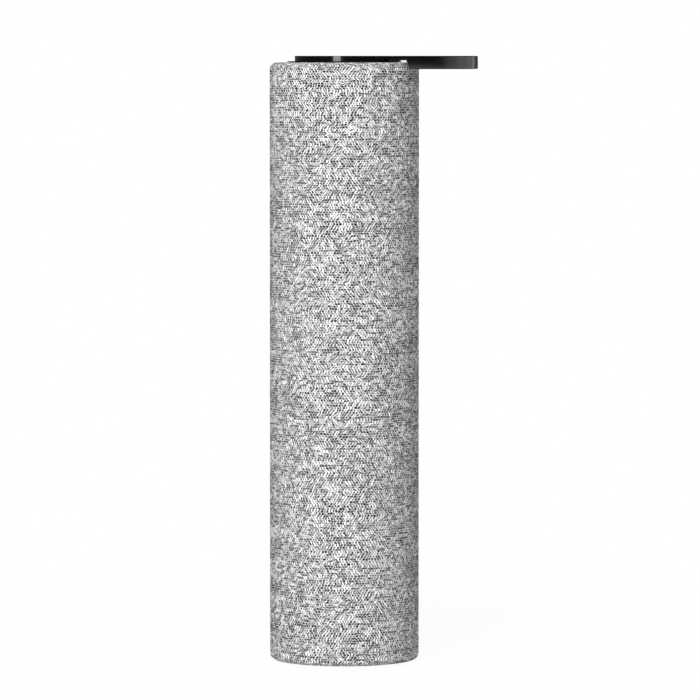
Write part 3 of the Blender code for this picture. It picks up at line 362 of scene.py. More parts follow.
def knit():
    """Heather-grey knitting: rows of slanted yarn legs, a dark yarn that comes up in runs, and painted shade
    in the gaps between the legs, darker and wider where the dark yarn runs. All of it is worked out from the
    angle round the body and the height."""
    material, g = new_material("heather knit", Sheen_Weight=0.03, Sheen_Roughness=0.4)
    g.shader.inputs["Specular IOR Level"].default_value = 0.15
    place = g.place()
    x, y, z = g.node("ShaderNodeSeparateXYZ", {"Vector": place}).outputs
    radius = g.math("SQRT", g.math("ADD", g.math("MULTIPLY", x, x), g.math("MULTIPLY", y, y)))
    turn = g.math("ARCTAN2", x, g.math("MULTIPLY", y, -1.0))
    middle_z = (SLEEVE_LOW.z + SLEEVE_HIGH.z) / 2
    fold = g.math("SIGN", g.math("SUBTRACT", z, middle_z))
    inward = g.math("MULTIPLY", fold, g.math("SUBTRACT", BODY_R, radius))
    along = g.math("DIVIDE", g.math("ADD", z, inward), ROW)
    across = g.math("MULTIPLY", turn, LEGS / (2 * math.pi))

    wobble = g.node("ShaderNodeTexNoise", {"Vector": place, "Scale": 230.0, "Detail": 1.0})
    sway = g.node("ShaderNodeSeparateColor", {"Color": wobble.outputs["Color"]}).outputs
    across = g.math("ADD", across, g.math("MULTIPLY", g.math("SUBTRACT", sway[0], 0.5), 1.2))
    along = g.math("ADD", along, g.math("MULTIPLY", g.math("SUBTRACT", sway[1], 0.5), 1.1))

    row = g.math("FLOOR", along)
    in_row = g.math("SUBTRACT", g.math("SUBTRACT", along, row), 0.5)
    offset = g.math("MULTIPLY", g.math("PINGPONG", row, 1.0), 0.5)
    offset = g.math("ADD", offset, g.math("MULTIPLY", g.random(row, 3.0), 0.4))
    shifted = g.math("ADD", across, offset)
    group = g.math("FLOOR", g.math("ADD", g.math("DIVIDE", shifted, 4.0), g.random(row, 7.0)))
    lean = g.math("MULTIPLY", g.math("SUBTRACT", g.random(group, row, 5.0), 0.5), 2.2)
    slanted = g.math("ADD", shifted, g.math("MULTIPLY", lean, in_row))
    leg = g.math("FLOOR", slanted)

    gap = g.math("FLOOR", g.math("ADD", slanted, 0.5))
    from_gap = g.math("ABSOLUTE", g.math("SUBTRACT", slanted, gap))
    from_row = g.math("ABSOLUTE", in_row)
    yarn_round = g.span(from_gap, 0.02, 0.42)
    row_round = g.span(from_row, 0.5, 0.32)
    height = g.math("MULTIPLY", yarn_round, g.math("ADD", 0.6, g.math("MULTIPLY", row_round, 0.4)))

    one = g.random(leg, row)
    fibre = g.noise(g.stretched(place, 1.0, 1.0, 0.5), 3000.0, 2.0, 0.7)
    runs = g.noise(g.stretched(place, 1.0, 1.0, 3.6), 60.0, 2.0, 0.55)
    marl = g.math("ADD", g.math("MULTIPLY", runs, 0.35), g.math("MULTIPLY", g.random(gap, row, 11.0), 0.65))
    tone = g.math("ADD", g.math("MULTIPLY", one, 0.75), g.math("MULTIPLY", fibre, 0.25))
    yarn = g.mix(tone, grey(1.0), grey(0.3))
    # Painted shade: the gaps between the yarn legs get a dark colour standing in for the shade in them;
    # where the dark yarn comes up, this painted gap shade is darker and wider.
    gap_shade_and_dark_yarn = g.mix(g.span(marl, 0.24, 0.4), grey(0.1), grey(0.0))
    gap_shade_half_width = g.span(marl, 0.42, 0.66, 0.2, 0.4)
    beside = g.span(g.math("SUBTRACT", from_gap, gap_shade_half_width), 0.06, -0.06)
    gap_shade_mask = g.math("MULTIPLY", beside, g.span(from_row, 0.5, 0.34))
    g.feed(g.shader.inputs["Base Color"], g.mix(gap_shade_mask, yarn, gap_shade_and_dark_yarn))
    g.feed(g.shader.inputs["Roughness"], g.span(fibre, 0.3, 0.7, 0.85, 1.0))
    relief = g.math("ADD", height, g.math("MULTIPLY", fibre, 0.25))
    g.feed(g.shader.inputs["Normal"], g.bump(relief, 0.3 * MM, 0.9))
    return material


def circuit_board():
    """Green solder mask with faint copper tracks."""
    material, g = new_material("circuit board", Coat_Weight=0.3)
    place = g.place()
    grid = g.node("ShaderNodeTexBrick", {"Vector": place, "Scale": 260.0, "Mortar Size": 0.03})
    grid.inputs["Color1"].default_value = (0.012, 0.075, 0.03, 1)
    grid.inputs["Color2"].default_value = (0.01, 0.055, 0.024, 1)
    grid.inputs["Mortar"].default_value = (0.03, 0.14, 0.05, 1)
    g.feed(g.shader.inputs["Base Color"], grid.outputs["Color"])
    g.feed(g.shader.inputs["Roughness"], g.span(g.noise(place, 900.0), 0.3, 0.7, 0.35, 0.5))
    g.feed(g.shader.inputs["Normal"], g.bump(grid.outputs["Fac"], 0.03 * MM))
    return material


def soft_material(name, colour, pitch, depth, sheen=0.3):
    """Foam, paper pulp or impregnated cloth: a rough surface with a fibrous relief."""
    material, g = new_material(name, Sheen_Weight=sheen)
    place = g.place()
    fibres = g.noise(place, 1 / pitch, 4.0, 0.7)
    dark = tuple(c * 0.7 for c in colour) + (1.0,)
    light = tuple(min(1.0, c * 1.25) for c in colour) + (1.0,)
    g.feed(g.shader.inputs["Base Color"], g.mix(fibres, dark, light))
    g.feed(g.shader.inputs["Roughness"], g.span(fibres, 0.3, 0.7, 0.8, 1.0))
    g.feed(g.shader.inputs["Normal"], g.bump(fibres, depth))
    return material


KNIT = knit()
PIANO = finish("piano black", (0.002, 0.002, 0.0022), 0.12, mottle=0.05, Specular_IOR_Level=0.46)
TRIM = finish("trim black", (0.003, 0.003, 0.0032), 0.3, mottle=0.05, Specular_IOR_Level=0.15)
SATIN = finish("satin black", (0.012, 0.012, 0.013), 0.38, 0.006 * MM, 0.25 * MM)
MOULDED = finish("moulded black", (0.014, 0.014, 0.015), 0.52, 0.015 * MM, 0.35 * MM)
RUBBER = finish("black rubber", (0.016, 0.016, 0.016), 0.75, 0.02 * MM, 0.5 * MM)
STRAP = finish("strap rubber", (0.004, 0.004, 0.0042), 0.22, 0.006 * MM, 0.3 * MM)
STEEL = finish("steel", (0.56, 0.56, 0.58), 0.28, 0.004 * MM, 0.2 * MM, Metallic=1.0)
BLACK_STEEL = finish("black painted steel", (0.02, 0.02, 0.02), 0.42, 0.006 * MM)
ALUMINIUM = finish("aluminium", (0.74, 0.74, 0.76), 0.36, 0.004 * MM, 0.3 * MM, Metallic=1.0)
GOLD = finish("gold contacts", (0.8, 0.55, 0.2), 0.25, Metallic=1.0)
FROSTED = finish("frosted light pipe", (0.62, 0.64, 0.67), 0.4, 0.004 * MM, Subsurface_Weight=0.3)
PRINT = finish("grey print", (0.42, 0.43, 0.44), 0.6)
CELL_WRAP = finish("cell wrap", (0.03, 0.15, 0.45), 0.32, mottle=0.2)
BOARD = circuit_board()
FOAM = soft_material("grey foam", (0.1, 0.1, 0.1), 0.6 * MM, 0.1 * MM)
PAPER = soft_material("cone paper", (0.04, 0.04, 0.04), 0.5 * MM, 0.04 * MM)
SILK = soft_material("dome silk", (0.035, 0.035, 0.04), 0.3 * MM, 0.02 * MM)
SPIDER = soft_material("spider cloth", (0.5, 0.34, 0.09), 0.4 * MM, 0.06 * MM)
WIRE_RED = finish("red wire", (0.45, 0.015, 0.012), 0.45)
WIRE_BLACK = finish("black wire", (0.014, 0.014, 0.014), 0.45)
THREAD = finish("seam thread", (0.4, 0.4, 0.41), 0.9)

SLOT_MATERIALS = {
    "fabric": KNIT,
    "gloss_black": PIANO,
    "satin_black": SATIN,
    "black_plastic": MOULDED,
    "rubber": RUBBER,
    "strap_rubber": STRAP,
    "steel": STEEL,
    "steel_black": BLACK_STEEL,
    "aluminium": ALUMINIUM,
    "light_pipe": FROSTED,
    "circuit_board": BOARD,
    "cell_wrap": CELL_WRAP,
    "foam": FOAM,
    "paper": PAPER,
    "silk": SILK,
    "spider_cloth": SPIDER,
    "wire_red": WIRE_RED,
    "wire_black": WIRE_BLACK,
}


# ================================================================ camera, floor and light
FOCAL = 263.5  # mm, on a sensor 36 mm wide: a long lens, as the parallel sides show
DISTANCE = 2.9
AIM = Vector((3.2 * MM, 0, 176.5 * MM))


# Azimuth and radiance of the panels that light the strap: brighter towards its far end.
STRAP_SIDE = ((38, 0.06), (54, 1.0), (72, 1.7), (92, 1.8), (114, 1.9))


def aimed(obj, target):
    obj.rotation_euler = (Vector(target) - obj.location).to_track_quat("-Z", "Y").to_euler()
    return obj


def make_camera():
    """Level with the top of the cap, so that the cap is seen edge on."""
    data = bpy.data.cameras.new("camera")
    data.lens = FOCAL
    data.sensor_width = 36
    data.clip_end = 50
    camera = link(bpy.data.objects.new("camera", data))
    camera.location = (0, -DISTANCE, CAP_TOP)
    bpy.context.scene.camera = aimed(camera, AIM)


def softbox(name, azimuth, elevation, distance, width, height, power, target_z=0.2):
    """A rectangular light. Azimuth 0 is in front of the speaker and 90 is on its right."""
    data = bpy.data.lights.new(name, "AREA")
    data.shape = "RECTANGLE"
    data.size = width
    data.size_y = height
    data.energy = power
    lamp = link(bpy.data.objects.new(name, data))
    a, e = math.radians(azimuth), math.radians(elevation)
    lamp.location = Vector((math.sin(a) * math.cos(e), -math.cos(a) * math.cos(e), math.sin(e))) * distance
    lamp.location.z += target_z
    return aimed(lamp, (0, 0, target_z))


def make_world():
    """White to the camera, and a dim studio to every other ray, lighter behind the object."""
    world = bpy.data.worlds.new("studio")
    world.use_nodes = True
    bpy.context.scene.world = world
    g = Graph(world.node_tree)
    background = world.node_tree.nodes["Background"]
    direction = g.node("ShaderNodeTexCoord").outputs["Generated"]
    y = g.node("ShaderNodeSeparateXYZ", {"Vector": direction}).outputs[1]
    studio = g.mix(g.span(y, -0.2, 0.9), grey(0.065), grey(0.14))
    seen = g.node("ShaderNodeLightPath").outputs["Is Camera Ray"]
    g.feed(background.inputs["Color"], g.mix(seen, studio, grey(1.0)))


def make_floor():
    """A pale floor that fades into the white of the world away from the object."""
    bm = lathe_bm([(0, 0), (0.2, 0), (0.5, 0), (1.2, 0), (3.0, 0)], 96)
    top = [f for f in bm.faces if f.calc_center_median().length < 3]
    bmesh.ops.recalc_face_normals(bm, faces=top)
    material, g = new_material("floor", Roughness=0.9)
    g.shader.inputs["Base Color"].default_value = grey(0.85)
    place = g.place()
    distance = g.node("ShaderNodeVectorMath", {0: place}, operation="LENGTH").outputs["Value"]
    away = g.span(distance, 0.1, 0.6, 0.95, 1.0)
    seen = g.node("ShaderNodeLightPath").outputs["Is Camera Ray"]
    white = g.node("ShaderNodeEmission", {"Strength": 1.0})
    mixed = g.node("ShaderNodeMixShader", {0: g.math("MULTIPLY", seen, away)})
    g.feed(mixed.inputs[1], g.shader.outputs[0])
    g.feed(mixed.inputs[2], white.outputs[0])
    g.feed(material.node_tree.nodes["Material Output"].inputs["Surface"], mixed.outputs[0])
    floor = mesh_object("floor", bm, material)
    floor.location.z = -0.05 * MM


def make_studio():
    bpy.context.scene.view_settings.view_transform = "Standard"
    make_world()
    make_floor()
    key = softbox("key", -14, 38, 3.5, 1.2, 1.2, 168)
    strip = softbox("strip", -17, 2, 2.0, 0.58, 0.5, 7.2)
    softbox("overhead", 0, 89, 1.6, 1.0, 1.0, 0.6)
    rim = softbox("right_rim", 155, 8, 2.0, 0.5, 1.4, 24)
    panels = []
    for azimuth, radiance in STRAP_SIDE:
        width, height = 0.54, 1.0
        power = radiance * math.pi * width * height
        panels.append(softbox(f"strap_side_{azimuth}", azimuth, 5, 1.7, width, height, power))
    return (key, strip, rim), panels


def light_only(lamps, piece):
    """Keeps the lamps' light on this piece."""
    group = bpy.data.collections.new("lit_" + piece.name)
    group.objects.link(piece)
    for lamp in lamps:
        lamp.light_linking.receiver_collection = group


def light_all_but(lamps, piece):
    """Keeps the lamps' light off this piece."""
    group = bpy.data.collections.new("unlit_" + piece.name)
    group.objects.link(piece)
    group.collection_objects[0].light_linking.link_state = "EXCLUDE"
    for lamp in lamps:
        lamp.light_linking.receiver_collection = group


# ================================================================ fabric sleeve
def sleeve_profile():
    """Outer line of the sleeve from the top hem to the bottom hem, one point for each row."""
    top, bottom = SLEEVE_HIGH.z, SLEEVE_LOW.z
    hem_top_r = 30.95 * MM
    hem_bottom_r = 33.45 * MM
    shoulder = arc(BODY_R - SHOULDER_R, top - SHOULDER_R, SHOULDER_R, 90, 0, 7)
    heel = arc(BODY_R - HEEL_R, bottom + HEEL_R, HEEL_R, 0, -90, 6)
    flat_count = 5
    top_flat = [(hem_top_r + (shoulder[0][0] - hem_top_r) * i / flat_count, top) for i in range(flat_count)]
    side_top, side_bottom = shoulder[-1][1], heel[0][1]
    count = round((side_top - side_bottom) / (1.2 * MM))
    side = [(BODY_R, side_top + (side_bottom - side_top) * i / count) for i in range(1, count)]
    heel_flat = [(heel[-1][0] + (hem_bottom_r - heel[-1][0]) * i / 4, bottom) for i in range(1, 5)]
    return top_flat + shoulder + side + heel + heel_flat


def inner_line():
    """The sleeve's inside, from the bottom hem up to the top hem."""
    top, bottom = SLEEVE_HIGH.z, SLEEVE_LOW.z
    line = [(33.45 * MM, bottom + FABRIC_T)]
    line += arc(BODY_R - HEEL_R, bottom + HEEL_R, HEEL_R - FABRIC_T, -90, 0, 5)
    line += arc(BODY_R - SHOULDER_R, top - SHOULDER_R, SHOULDER_R - FABRIC_T, 0, 90, 5)
    return line + [(30.95 * MM, top - FABRIC_T)]


def seam_dent(arc_length):
    """How far the cloth is pulled in at the join at the back, by the distance from it."""
    groove = -0.35 * MM * math.exp(-((arc_length / (0.5 * SEAM_WIDTH)) ** 2))
    swell = 0.1 * MM * math.exp(-(((arc_length - 1.6 * SEAM_WIDTH) / SEAM_WIDTH) ** 2))
    return groove + swell


def make_sleeve():
    """A knitted tube with a woven relief, a sewn join down the back and a window for the panel."""
    outer = sleeve_profile()
    profile = outer + inner_line()
    steps = 2 * LEGS
    random.seed(7)
    bm = lathe_bm(profile, steps)
    bm.verts.ensure_lookup_table()
    for ring in range(2, len(outer) - 2):
        for k in range(steps):
            vert = bm.verts[ring * steps + k]
            radial = Vector((vert.co.x, vert.co.y, 0)).normalized()
            flat_part = abs(vert.co.z - SLEEVE_HIGH.z) < 1e-6 or abs(vert.co.z - SLEEVE_LOW.z) < 1e-6
            out = Vector((0, 0, 1 if vert.co.z > 0.1 else -1)) if flat_part else radial
            weave = RELIEF * (1 if (ring + k) % 2 else -1)
            from_seam = abs(math.atan2(vert.co.x, vert.co.y)) * BODY_R
            fluff = RELIEF * 1.6 * random.random()
            lift = (weave + fluff) * (FLAT_RELIEF if flat_part else 1.0)
            vert.co += out * (lift + seam_dent(from_seam))
    sleeve = mesh_object("fabric_sleeve_knit", bm, KNIT, sharp_deg=80)
    gap = 0.25 * MM
    width = 17.0 * MM + 2 * gap
    height = 47.0 * MM + 2 * gap
    upright = Matrix.Translation((0, 0, PANEL_Z)) @ Matrix.Rotation(math.radians(90), 4, "X")
    window = prism("window", stadium(width, height), -46 * MM, -36 * MM, matrix=upright)
    applied(sleeve, ("BOOLEAN", {"operation": "DIFFERENCE", "object": window, "solver": "EXACT"}))
    bpy.data.objects.remove(window)
    stands_for(sleeve, "fabric_sleeve")


def make_seam_thread():
    """Short stitches across the join at the back, above and below the panel."""
    bm = bmesh.new()
    pitch = 3.2 * MM
    z = 8 * MM
    while z < SLEEVE_HIGH.z - SHOULDER_R:
        if not PANEL_LOW.z + 1 * MM < z < PANEL_HIGH.z - 1 * MM:
            tilt = Matrix.Rotation(math.radians(38), 4, "Y")
            lie = Matrix.Rotation(math.radians(90), 4, "Y")
            middle = Matrix.Translation((0, BODY_R - 0.18 * MM, z))
            stitch = middle @ tilt @ lie @ Matrix.Diagonal((0.16, 0.16, 1, 1))
            half = 1.25 * MM
            profile = [(0, half)] + [(half * math.sin(a), half * math.cos(a)) for a in
                                     (math.pi * k / 8 for k in range(1, 8))] + [(0, -half)]
            part = lathe_bm(profile, 8, stitch)
            scratch = bpy.data.meshes.new("stitch")
            part.to_mesh(scratch)
            part.free()
            bm.from_mesh(scratch)
            bpy.data.meshes.remove(scratch)
        z += pitch
    detail(mesh_object("sleeve_seam_thread", bm, THREAD), "fabric")


# ================================================================ top
ARM_Y = 17.9 * MM
NOTCH_WIDTH = 2.9 * MM
BUTTON_CIRCLE_R = 10.0 * MM
BUTTON_R = 4.0 * MM


def make_trim_ring():
    inner_r = CAP_R + 0.5 * MM
    flange_r = TRIM_HIGH.x
    collar_r = 30.4 * MM
    flange_z = TRIM_HIGH.z - 0.5 * MM
    profile = [
        (inner_r, TRIM_HIGH.z),
        (flange_r, TRIM_HIGH.z),
        (flange_r, flange_z),
        (collar_r, flange_z),
        (collar_r, TRIM_LOW.z),
        (inner_r, TRIM_LOW.z),
    ]
    ring = lathe("trim_ring_gloss", rounded(profile, 0.1 * MM), TRIM, 192)
    stands_for(ring, "trim_ring")


def cylinder_cutter(name, centre, radius, length, steps=64, turn=None):
    profile = [(0, length / 2), (radius, length / 2), (radius, -length / 2), (0, -length / 2)]
    matrix = Matrix.Translation(centre) @ (turn or Matrix.Identity(4))
    return lathe(name, profile, steps=steps, matrix=matrix)


def make_cap():
    """The gloss disc, with its buttons' holes, light groove, microphones and strap notches."""
    ring_in, ring_out = RING_HIGH.x - 1.5 * MM, RING_HIGH.x
    side = 0.1 * MM
    underside = CAP_TOP - 4.1 * MM
    skirt_r = 25.4 * MM
    groove_z = RING_LOW.z - 0.15 * MM
    profile = [
        (0, CAP_TOP),
        (ring_in - side, CAP_TOP),
        (ring_in - side, groove_z),
        (ring_out + side, groove_z),
        (ring_out + side, CAP_TOP),
        (CAP_R, CAP_TOP),
        (CAP_R, CAP_LOW.z),
        (skirt_r, CAP_LOW.z),
        (skirt_r, underside),
        (0, underside),
    ]
    cap = lathe("top_cap_gloss", profile, PIANO, 192)
    cutters = []
    for i, at in enumerate(on_circle(BUTTON_CIRCLE_R, 4)):
        centre = at + Vector((0, 0, CAP_TOP - 2 * MM))
        cutters.append(cylinder_cutter(f"button_hole_{i}", centre, BUTTON_R + 0.2 * MM, 8 * MM))
    for side_sign in (-1, 1):
        y = side_sign * ARM_Y
        outline = [
            (PIN.x - 1.9 * MM, y - NOTCH_WIDTH / 2),
            (CAP_R + 3 * MM, y - NOTCH_WIDTH / 2),
            (CAP_R + 3 * MM, y + NOTCH_WIDTH / 2),
            (PIN.x - 1.9 * MM, y + NOTCH_WIDTH / 2),
        ]
        cutters.append(prism(f"notch_{side_sign + 1}", outline, CAP_TOP - 3.2 * MM, CAP_TOP + 2 * MM))
    cut(cap, *cutters)
    soften(cap, 0.16 * MM)
    mics = []
    for i, at in enumerate(on_circle(24.2 * MM, 4, 22.5)):
        centre = at + Vector((0, 0, CAP_TOP - 2 * MM))
        mics.append(cylinder_cutter(f"mic_hole_{i}", centre, 0.45 * MM, 8 * MM, 24))
    lie = Matrix.Rotation(math.radians(90), 4, "X")
    for i, y in enumerate((-17.5 * MM, 17.5 * MM)):
        mics.append(cylinder_cutter(f"pin_bore_{i}", (PIN.x, y, PIN.z), 0.65 * MM, 6.6 * MM, 24, lie))
    cut(cap, *mics)
    evened(cap)
    stands_for(cap, "top_cap")


def make_light_ring():
    outer, inner = RING_HIGH.x, RING_HIGH.x - 1.5 * MM
    profile = [(outer, RING_HIGH.z), (outer, RING_LOW.z), (inner, RING_LOW.z), (inner, RING_HIGH.z)]
    ring = lathe("light_ring_frosted", rounded(profile, 0.12 * MM), FROSTED, 192)
    stands_for(ring, "light_ring")


def button_profile(low, high):
    flange_r, neck_r = 4.8 * MM, BUTTON_R
    flange_top = low + 0.7 * MM
    rim = 0.35 * MM
    profile = [(0, high - 0.15 * MM), (2.5 * MM, high - 0.15 * MM), (3.3 * MM, high - 0.05 * MM)]
    profile += [(p[0], p[1]) for p in arc(neck_r - rim, high - rim, rim, 90, 0, 6)]
    profile += [(neck_r, flange_top), (flange_r, flange_top), (flange_r, low), (0, low)]
    return profile


def glyph_plus(arm=1.5 * MM, width=0.22 * MM):
    return [[(width, width), (width, arm), (-width, arm), (-width, width), (-arm, width), (-arm, -width),
             (-width, -width), (-width, -arm), (width, -arm), (width, -width), (arm, -width), (arm, width)]]


def glyph_minus(arm=1.5 * MM, width=0.22 * MM):
    return [stadium(2 * arm, 2 * width, 7)]


def glyph_bars():
    """A barred circle for the microphones' switch is made from a bar and a ring."""
    turn = math.radians(45)
    bar = stadium(3.4 * MM, 0.36 * MM, 7)
    c, s = math.cos(turn), math.sin(turn)
    return [[(x * c - y * s, x * s + y * c) for x, y in bar]]


def printed(name, outlines, z, body, at, ring=None):
    """Thin print on a button: flat outlines, and a ring of (inner, outer) radius if asked."""
    bm = bmesh.new()
    thick = 0.04 * MM
    for outline in outlines:
        scratch = prism("glyph", outline, z - thick, z + thick)
        bm.from_mesh(scratch.data)
        bpy.data.objects.remove(scratch)
    if ring:
        inner, outer = ring
        profile = [(outer, z + thick), (outer, z - thick), (inner, z - thick), (inner, z + thick)]
        scratch = lathe("glyph_ring", profile, steps=48)
        bm.from_mesh(scratch.data)
        bpy.data.objects.remove(scratch)
    bm.transform(Matrix.Translation((at.x, at.y, 0)))
    return detail(mesh_object(name, bm, PRINT), "satin_black", body)


def make_buttons():
    names = ("action_button", "volume_up_button", "mute_button", "volume_down_button")
    for name, at in zip(names, on_circle(BUTTON_CIRCLE_R, 4)):
        low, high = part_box(name)
        button = lathe(name + "_cap", button_profile(low.z, high.z), SATIN, 64, Matrix.Translation(at))
        stands_for(button, name, name)
        z = high.z - 0.15 * MM
        if name == "volume_up_button":
            printed("volume_up_print", glyph_plus(), z, name, at)
        elif name == "volume_down_button":
            printed("volume_down_print", glyph_minus(), z, name, at)
        elif name == "mute_button":
            printed("mute_print", glyph_bars(), z, name, at, (1.25 * MM, 1.6 * MM))
        else:
            printed("action_print", [], z, name, at, (0.9 * MM, 1.3 * MM))


# ================================================================ strap
STRAP_T = 1.8 * MM
STRAP_STEP_X = 35.3 * MM
ARM_BOTTOM = CAP_TOP - 2.75 * MM
ARM_TOP = CAP_TOP - 0.4 * MM
# Height of the strap's lower edge past each place: a heel on the fabric, a slot, and the wide band.
STRAP_STEPS = (
    (CAP_TOP - 3.4 * MM, 26.6 * MM, 27.4 * MM),
    (CAP_TOP - 2.55 * MM, 31.0 * MM, 31.8 * MM),
    (STRAP_LOW.z, STRAP_STEP_X, STRAP_STEP_X + 0.9 * MM),
)


def strap_route():
    """Centre line of the loop in plan, from one arm's round end to the other's."""
    bend_y = 23.6 * MM
    bend_x = STRAP_STEP_X + 1.4 * MM
    reach = STRAP_TIP - STRAP_T / 2 - bend_x
    arm = [(16.8 * MM, ARM_Y), (22.4 * MM, ARM_Y), (35.4 * MM, bend_y - 0.03 * MM)]
    turns = [math.radians(3 * k) for k in range(31)]
    bend = [(bend_x + reach * math.sin(a), bend_y * math.cos(a)) for a in turns]
    half = rounded([*arm, *bend[:2]], 0.7 * MM, 5, closed=False)[:-1] + bend[1:]
    return half + [(x, -y) for x, y in reversed(half[:-1])]


def ease(value, low, high):
    t = min(max((value - low) / (high - low), 0.0), 1.0)
    return t * t * (3 - 2 * t)


def strap_edges(x):
    """Lower and upper edge of the strap at this distance from the body's axis."""
    middle = (ARM_BOTTOM + ARM_TOP) / 2
    tip_r = (ARM_TOP - ARM_BOTTOM) / 2
    if x < PIN.x:
        half = math.sqrt(max(tip_r**2 - (PIN.x - x) ** 2, (0.25 * MM) ** 2))
        return middle - half, middle + half
    lower = ARM_BOTTOM
    for z, start, end in STRAP_STEPS:
        lower += (z - lower) * ease(x, start, end)
    upper = ARM_TOP + (STRAP_HIGH.z - ARM_TOP) * ease(x, 23 * MM, CAP_R)
    return lower, upper


def divided(line):
    """The line with more points where the strap's edges change."""
    fine = []
    for a, b in zip(line, line[1:]):
        changing = min(a.x, b.x) < STRAP_STEP_X + 2.5 * MM
        pitch = 0.2 * MM if changing else 1.0 * MM
        count = max(1, math.ceil((b - a).length / pitch))
        fine += [a.lerp(b, i / count) for i in range(count)]
    return [*fine, line[-1]]


def strap_section(low, high):
    """Half-width and height points of the band's section, with rounded edges."""
    half_t = STRAP_T / 2
    radius = min(0.55 * MM, (high - low) * 0.3)
    points = []
    for centre_n, centre_z, start in (
        (half_t - radius, high - radius, 0),
        (-half_t + radius, high - radius, 90),
        (-half_t + radius, low + radius, 180),
        (half_t - radius, low + radius, 270),
    ):
        points += arc(centre_n, centre_z, radius, start, start + 90, 5)
    return points


def make_strap():
    """A moulded rubber band on edge, bent into a loop and thinned to an arm at each end."""
    fine = divided([Vector(p) for p in strap_route()])
    bm = bmesh.new()
    rings = []
    for i, point in enumerate(fine):
        before = fine[max(i - 1, 0)]
        after = fine[min(i + 1, len(fine) - 1)]
        tangent = (after - before).normalized()
        normal = Vector((tangent.y, -tangent.x))
        low, high = strap_edges(point.x)
        rings.append([
            bm.verts.new((point.x + normal.x * n, point.y + normal.y * n, z))
            for n, z in strap_section(low, high)
        ])
    for a, b in zip(rings, rings[1:]):
        for k in range(len(a)):
            n = (k + 1) % len(a)
            bm.faces.new((a[k], a[n], b[n], b[k]))
    bm.faces.new(rings[0])
    bm.faces.new(rings[-1])
    strap = mesh_object("strap_band", bm, STRAP, sharp_deg=50)
    lie = Matrix.Rotation(math.radians(90), 4, "X")
    holes = [cylinder_cutter(f"eye_{i}", (PIN.x, y, PIN.z), 0.7 * MM, 4 * MM, 32, lie)
             for i, y in enumerate((-ARM_Y, ARM_Y))]
    cut(strap, *holes)
    return stands_for(strap, "strap", "strap")


def make_pins():
    for node in ("strap_pin_front", "strap_pin_rear"):
        low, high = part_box(node)
        centre = (low + high) / 2
        radius, half = (high.x - low.x) / 2, (high.y - low.y) / 2
        chamfer = 0.15 * MM
        profile = [(0, half), (radius - chamfer, half), (radius, half - chamfer), (radius, -half + chamfer),
                   (radius - chamfer, -half), (0, -half)]
        matrix = Matrix.Translation(centre) @ Matrix.Rotation(math.radians(90), 4, "X")
        stands_for(lathe(node + "_steel", profile, STEEL, 32, matrix), node)


# ================================================================ rear panel
def upright(x=0.0, z=0.0):
    """Turns a prism's +Z to +Y, its X to -X and its Y to +Z: the panel as seen from behind."""
    return Matrix.Translation((x, 0, z)) @ Matrix(((-1, 0, 0, 0), (0, 0, 1, 0), (0, 1, 0, 0), (0, 0, 0, 1)))


def make_rear_panel():
    """A moulded pill that follows the body's curve, with holes for the socket, lens and button."""
    width, height = 17.0 * MM, 47.0 * MM
    place = upright(0, PANEL_Z)
    outline = stadium(width, height, 25)
    panel = prism("rear_panel_moulding", outline, PANEL_LOW.y + MM, 46 * MM, MOULDED, place)
    skin = lathe("panel_skin", [(0, 70 * MM), (PANEL_HIGH.y, 70 * MM), (PANEL_HIGH.y, 0), (0, 0)], steps=512)
    cut(panel, skin, operation="INTERSECT")
    socket_z = (SOCKET_LOW.z + SOCKET_HIGH.z) / 2
    power_z = (POWER_LOW.z + POWER_HIGH.z) / 2
    lens_z = (LENS_LOW.z + LENS_HIGH.z) / 2
    at_socket = upright(0, socket_z)
    opening = stadium(9.5 * MM, 3.8 * MM)
    slot = prism("socket_slot", opening, 30 * MM, 50 * MM, matrix=at_socket)
    recess = prism("socket_recess", stadium(12.4 * MM, 6.6 * MM), 41.6 * MM, 50 * MM, matrix=at_socket)
    lie = Matrix.Rotation(math.radians(90), 4, "X")
    bore_r = BUTTON_R + 0.25 * MM
    bore = cylinder_cutter("power_bore", (0, 40 * MM, power_z), bore_r, 20 * MM, 64, lie)
    lens_bore = cylinder_cutter("lens_bore", (0, 40 * MM, lens_z), 1.05 * MM, 20 * MM, 32, lie)
    cut(panel, recess, slot, bore, lens_bore)
    soften(panel, 0.22 * MM)
    flange = prism("rear_panel_flange", stadium(21 * MM, 51 * MM, 25), PANEL_LOW.y, PANEL_LOW.y + 1.9 * MM,
                   MOULDED, place)
    flange_bore = cylinder_cutter("flange_bore", (0, 34 * MM, power_z), bore_r, 6 * MM, 64, lie)
    flange_lens = cylinder_cutter("flange_lens", (0, 34 * MM, lens_z), 1.05 * MM, 6 * MM, 32, lie)
    flange_slot = prism("flange_slot", opening, 30 * MM, 38 * MM, matrix=at_socket)
    cut(flange, flange_bore, flange_lens, flange_slot)
    stands_for(panel, "rear_panel")
    detail(flange, "black_plastic")


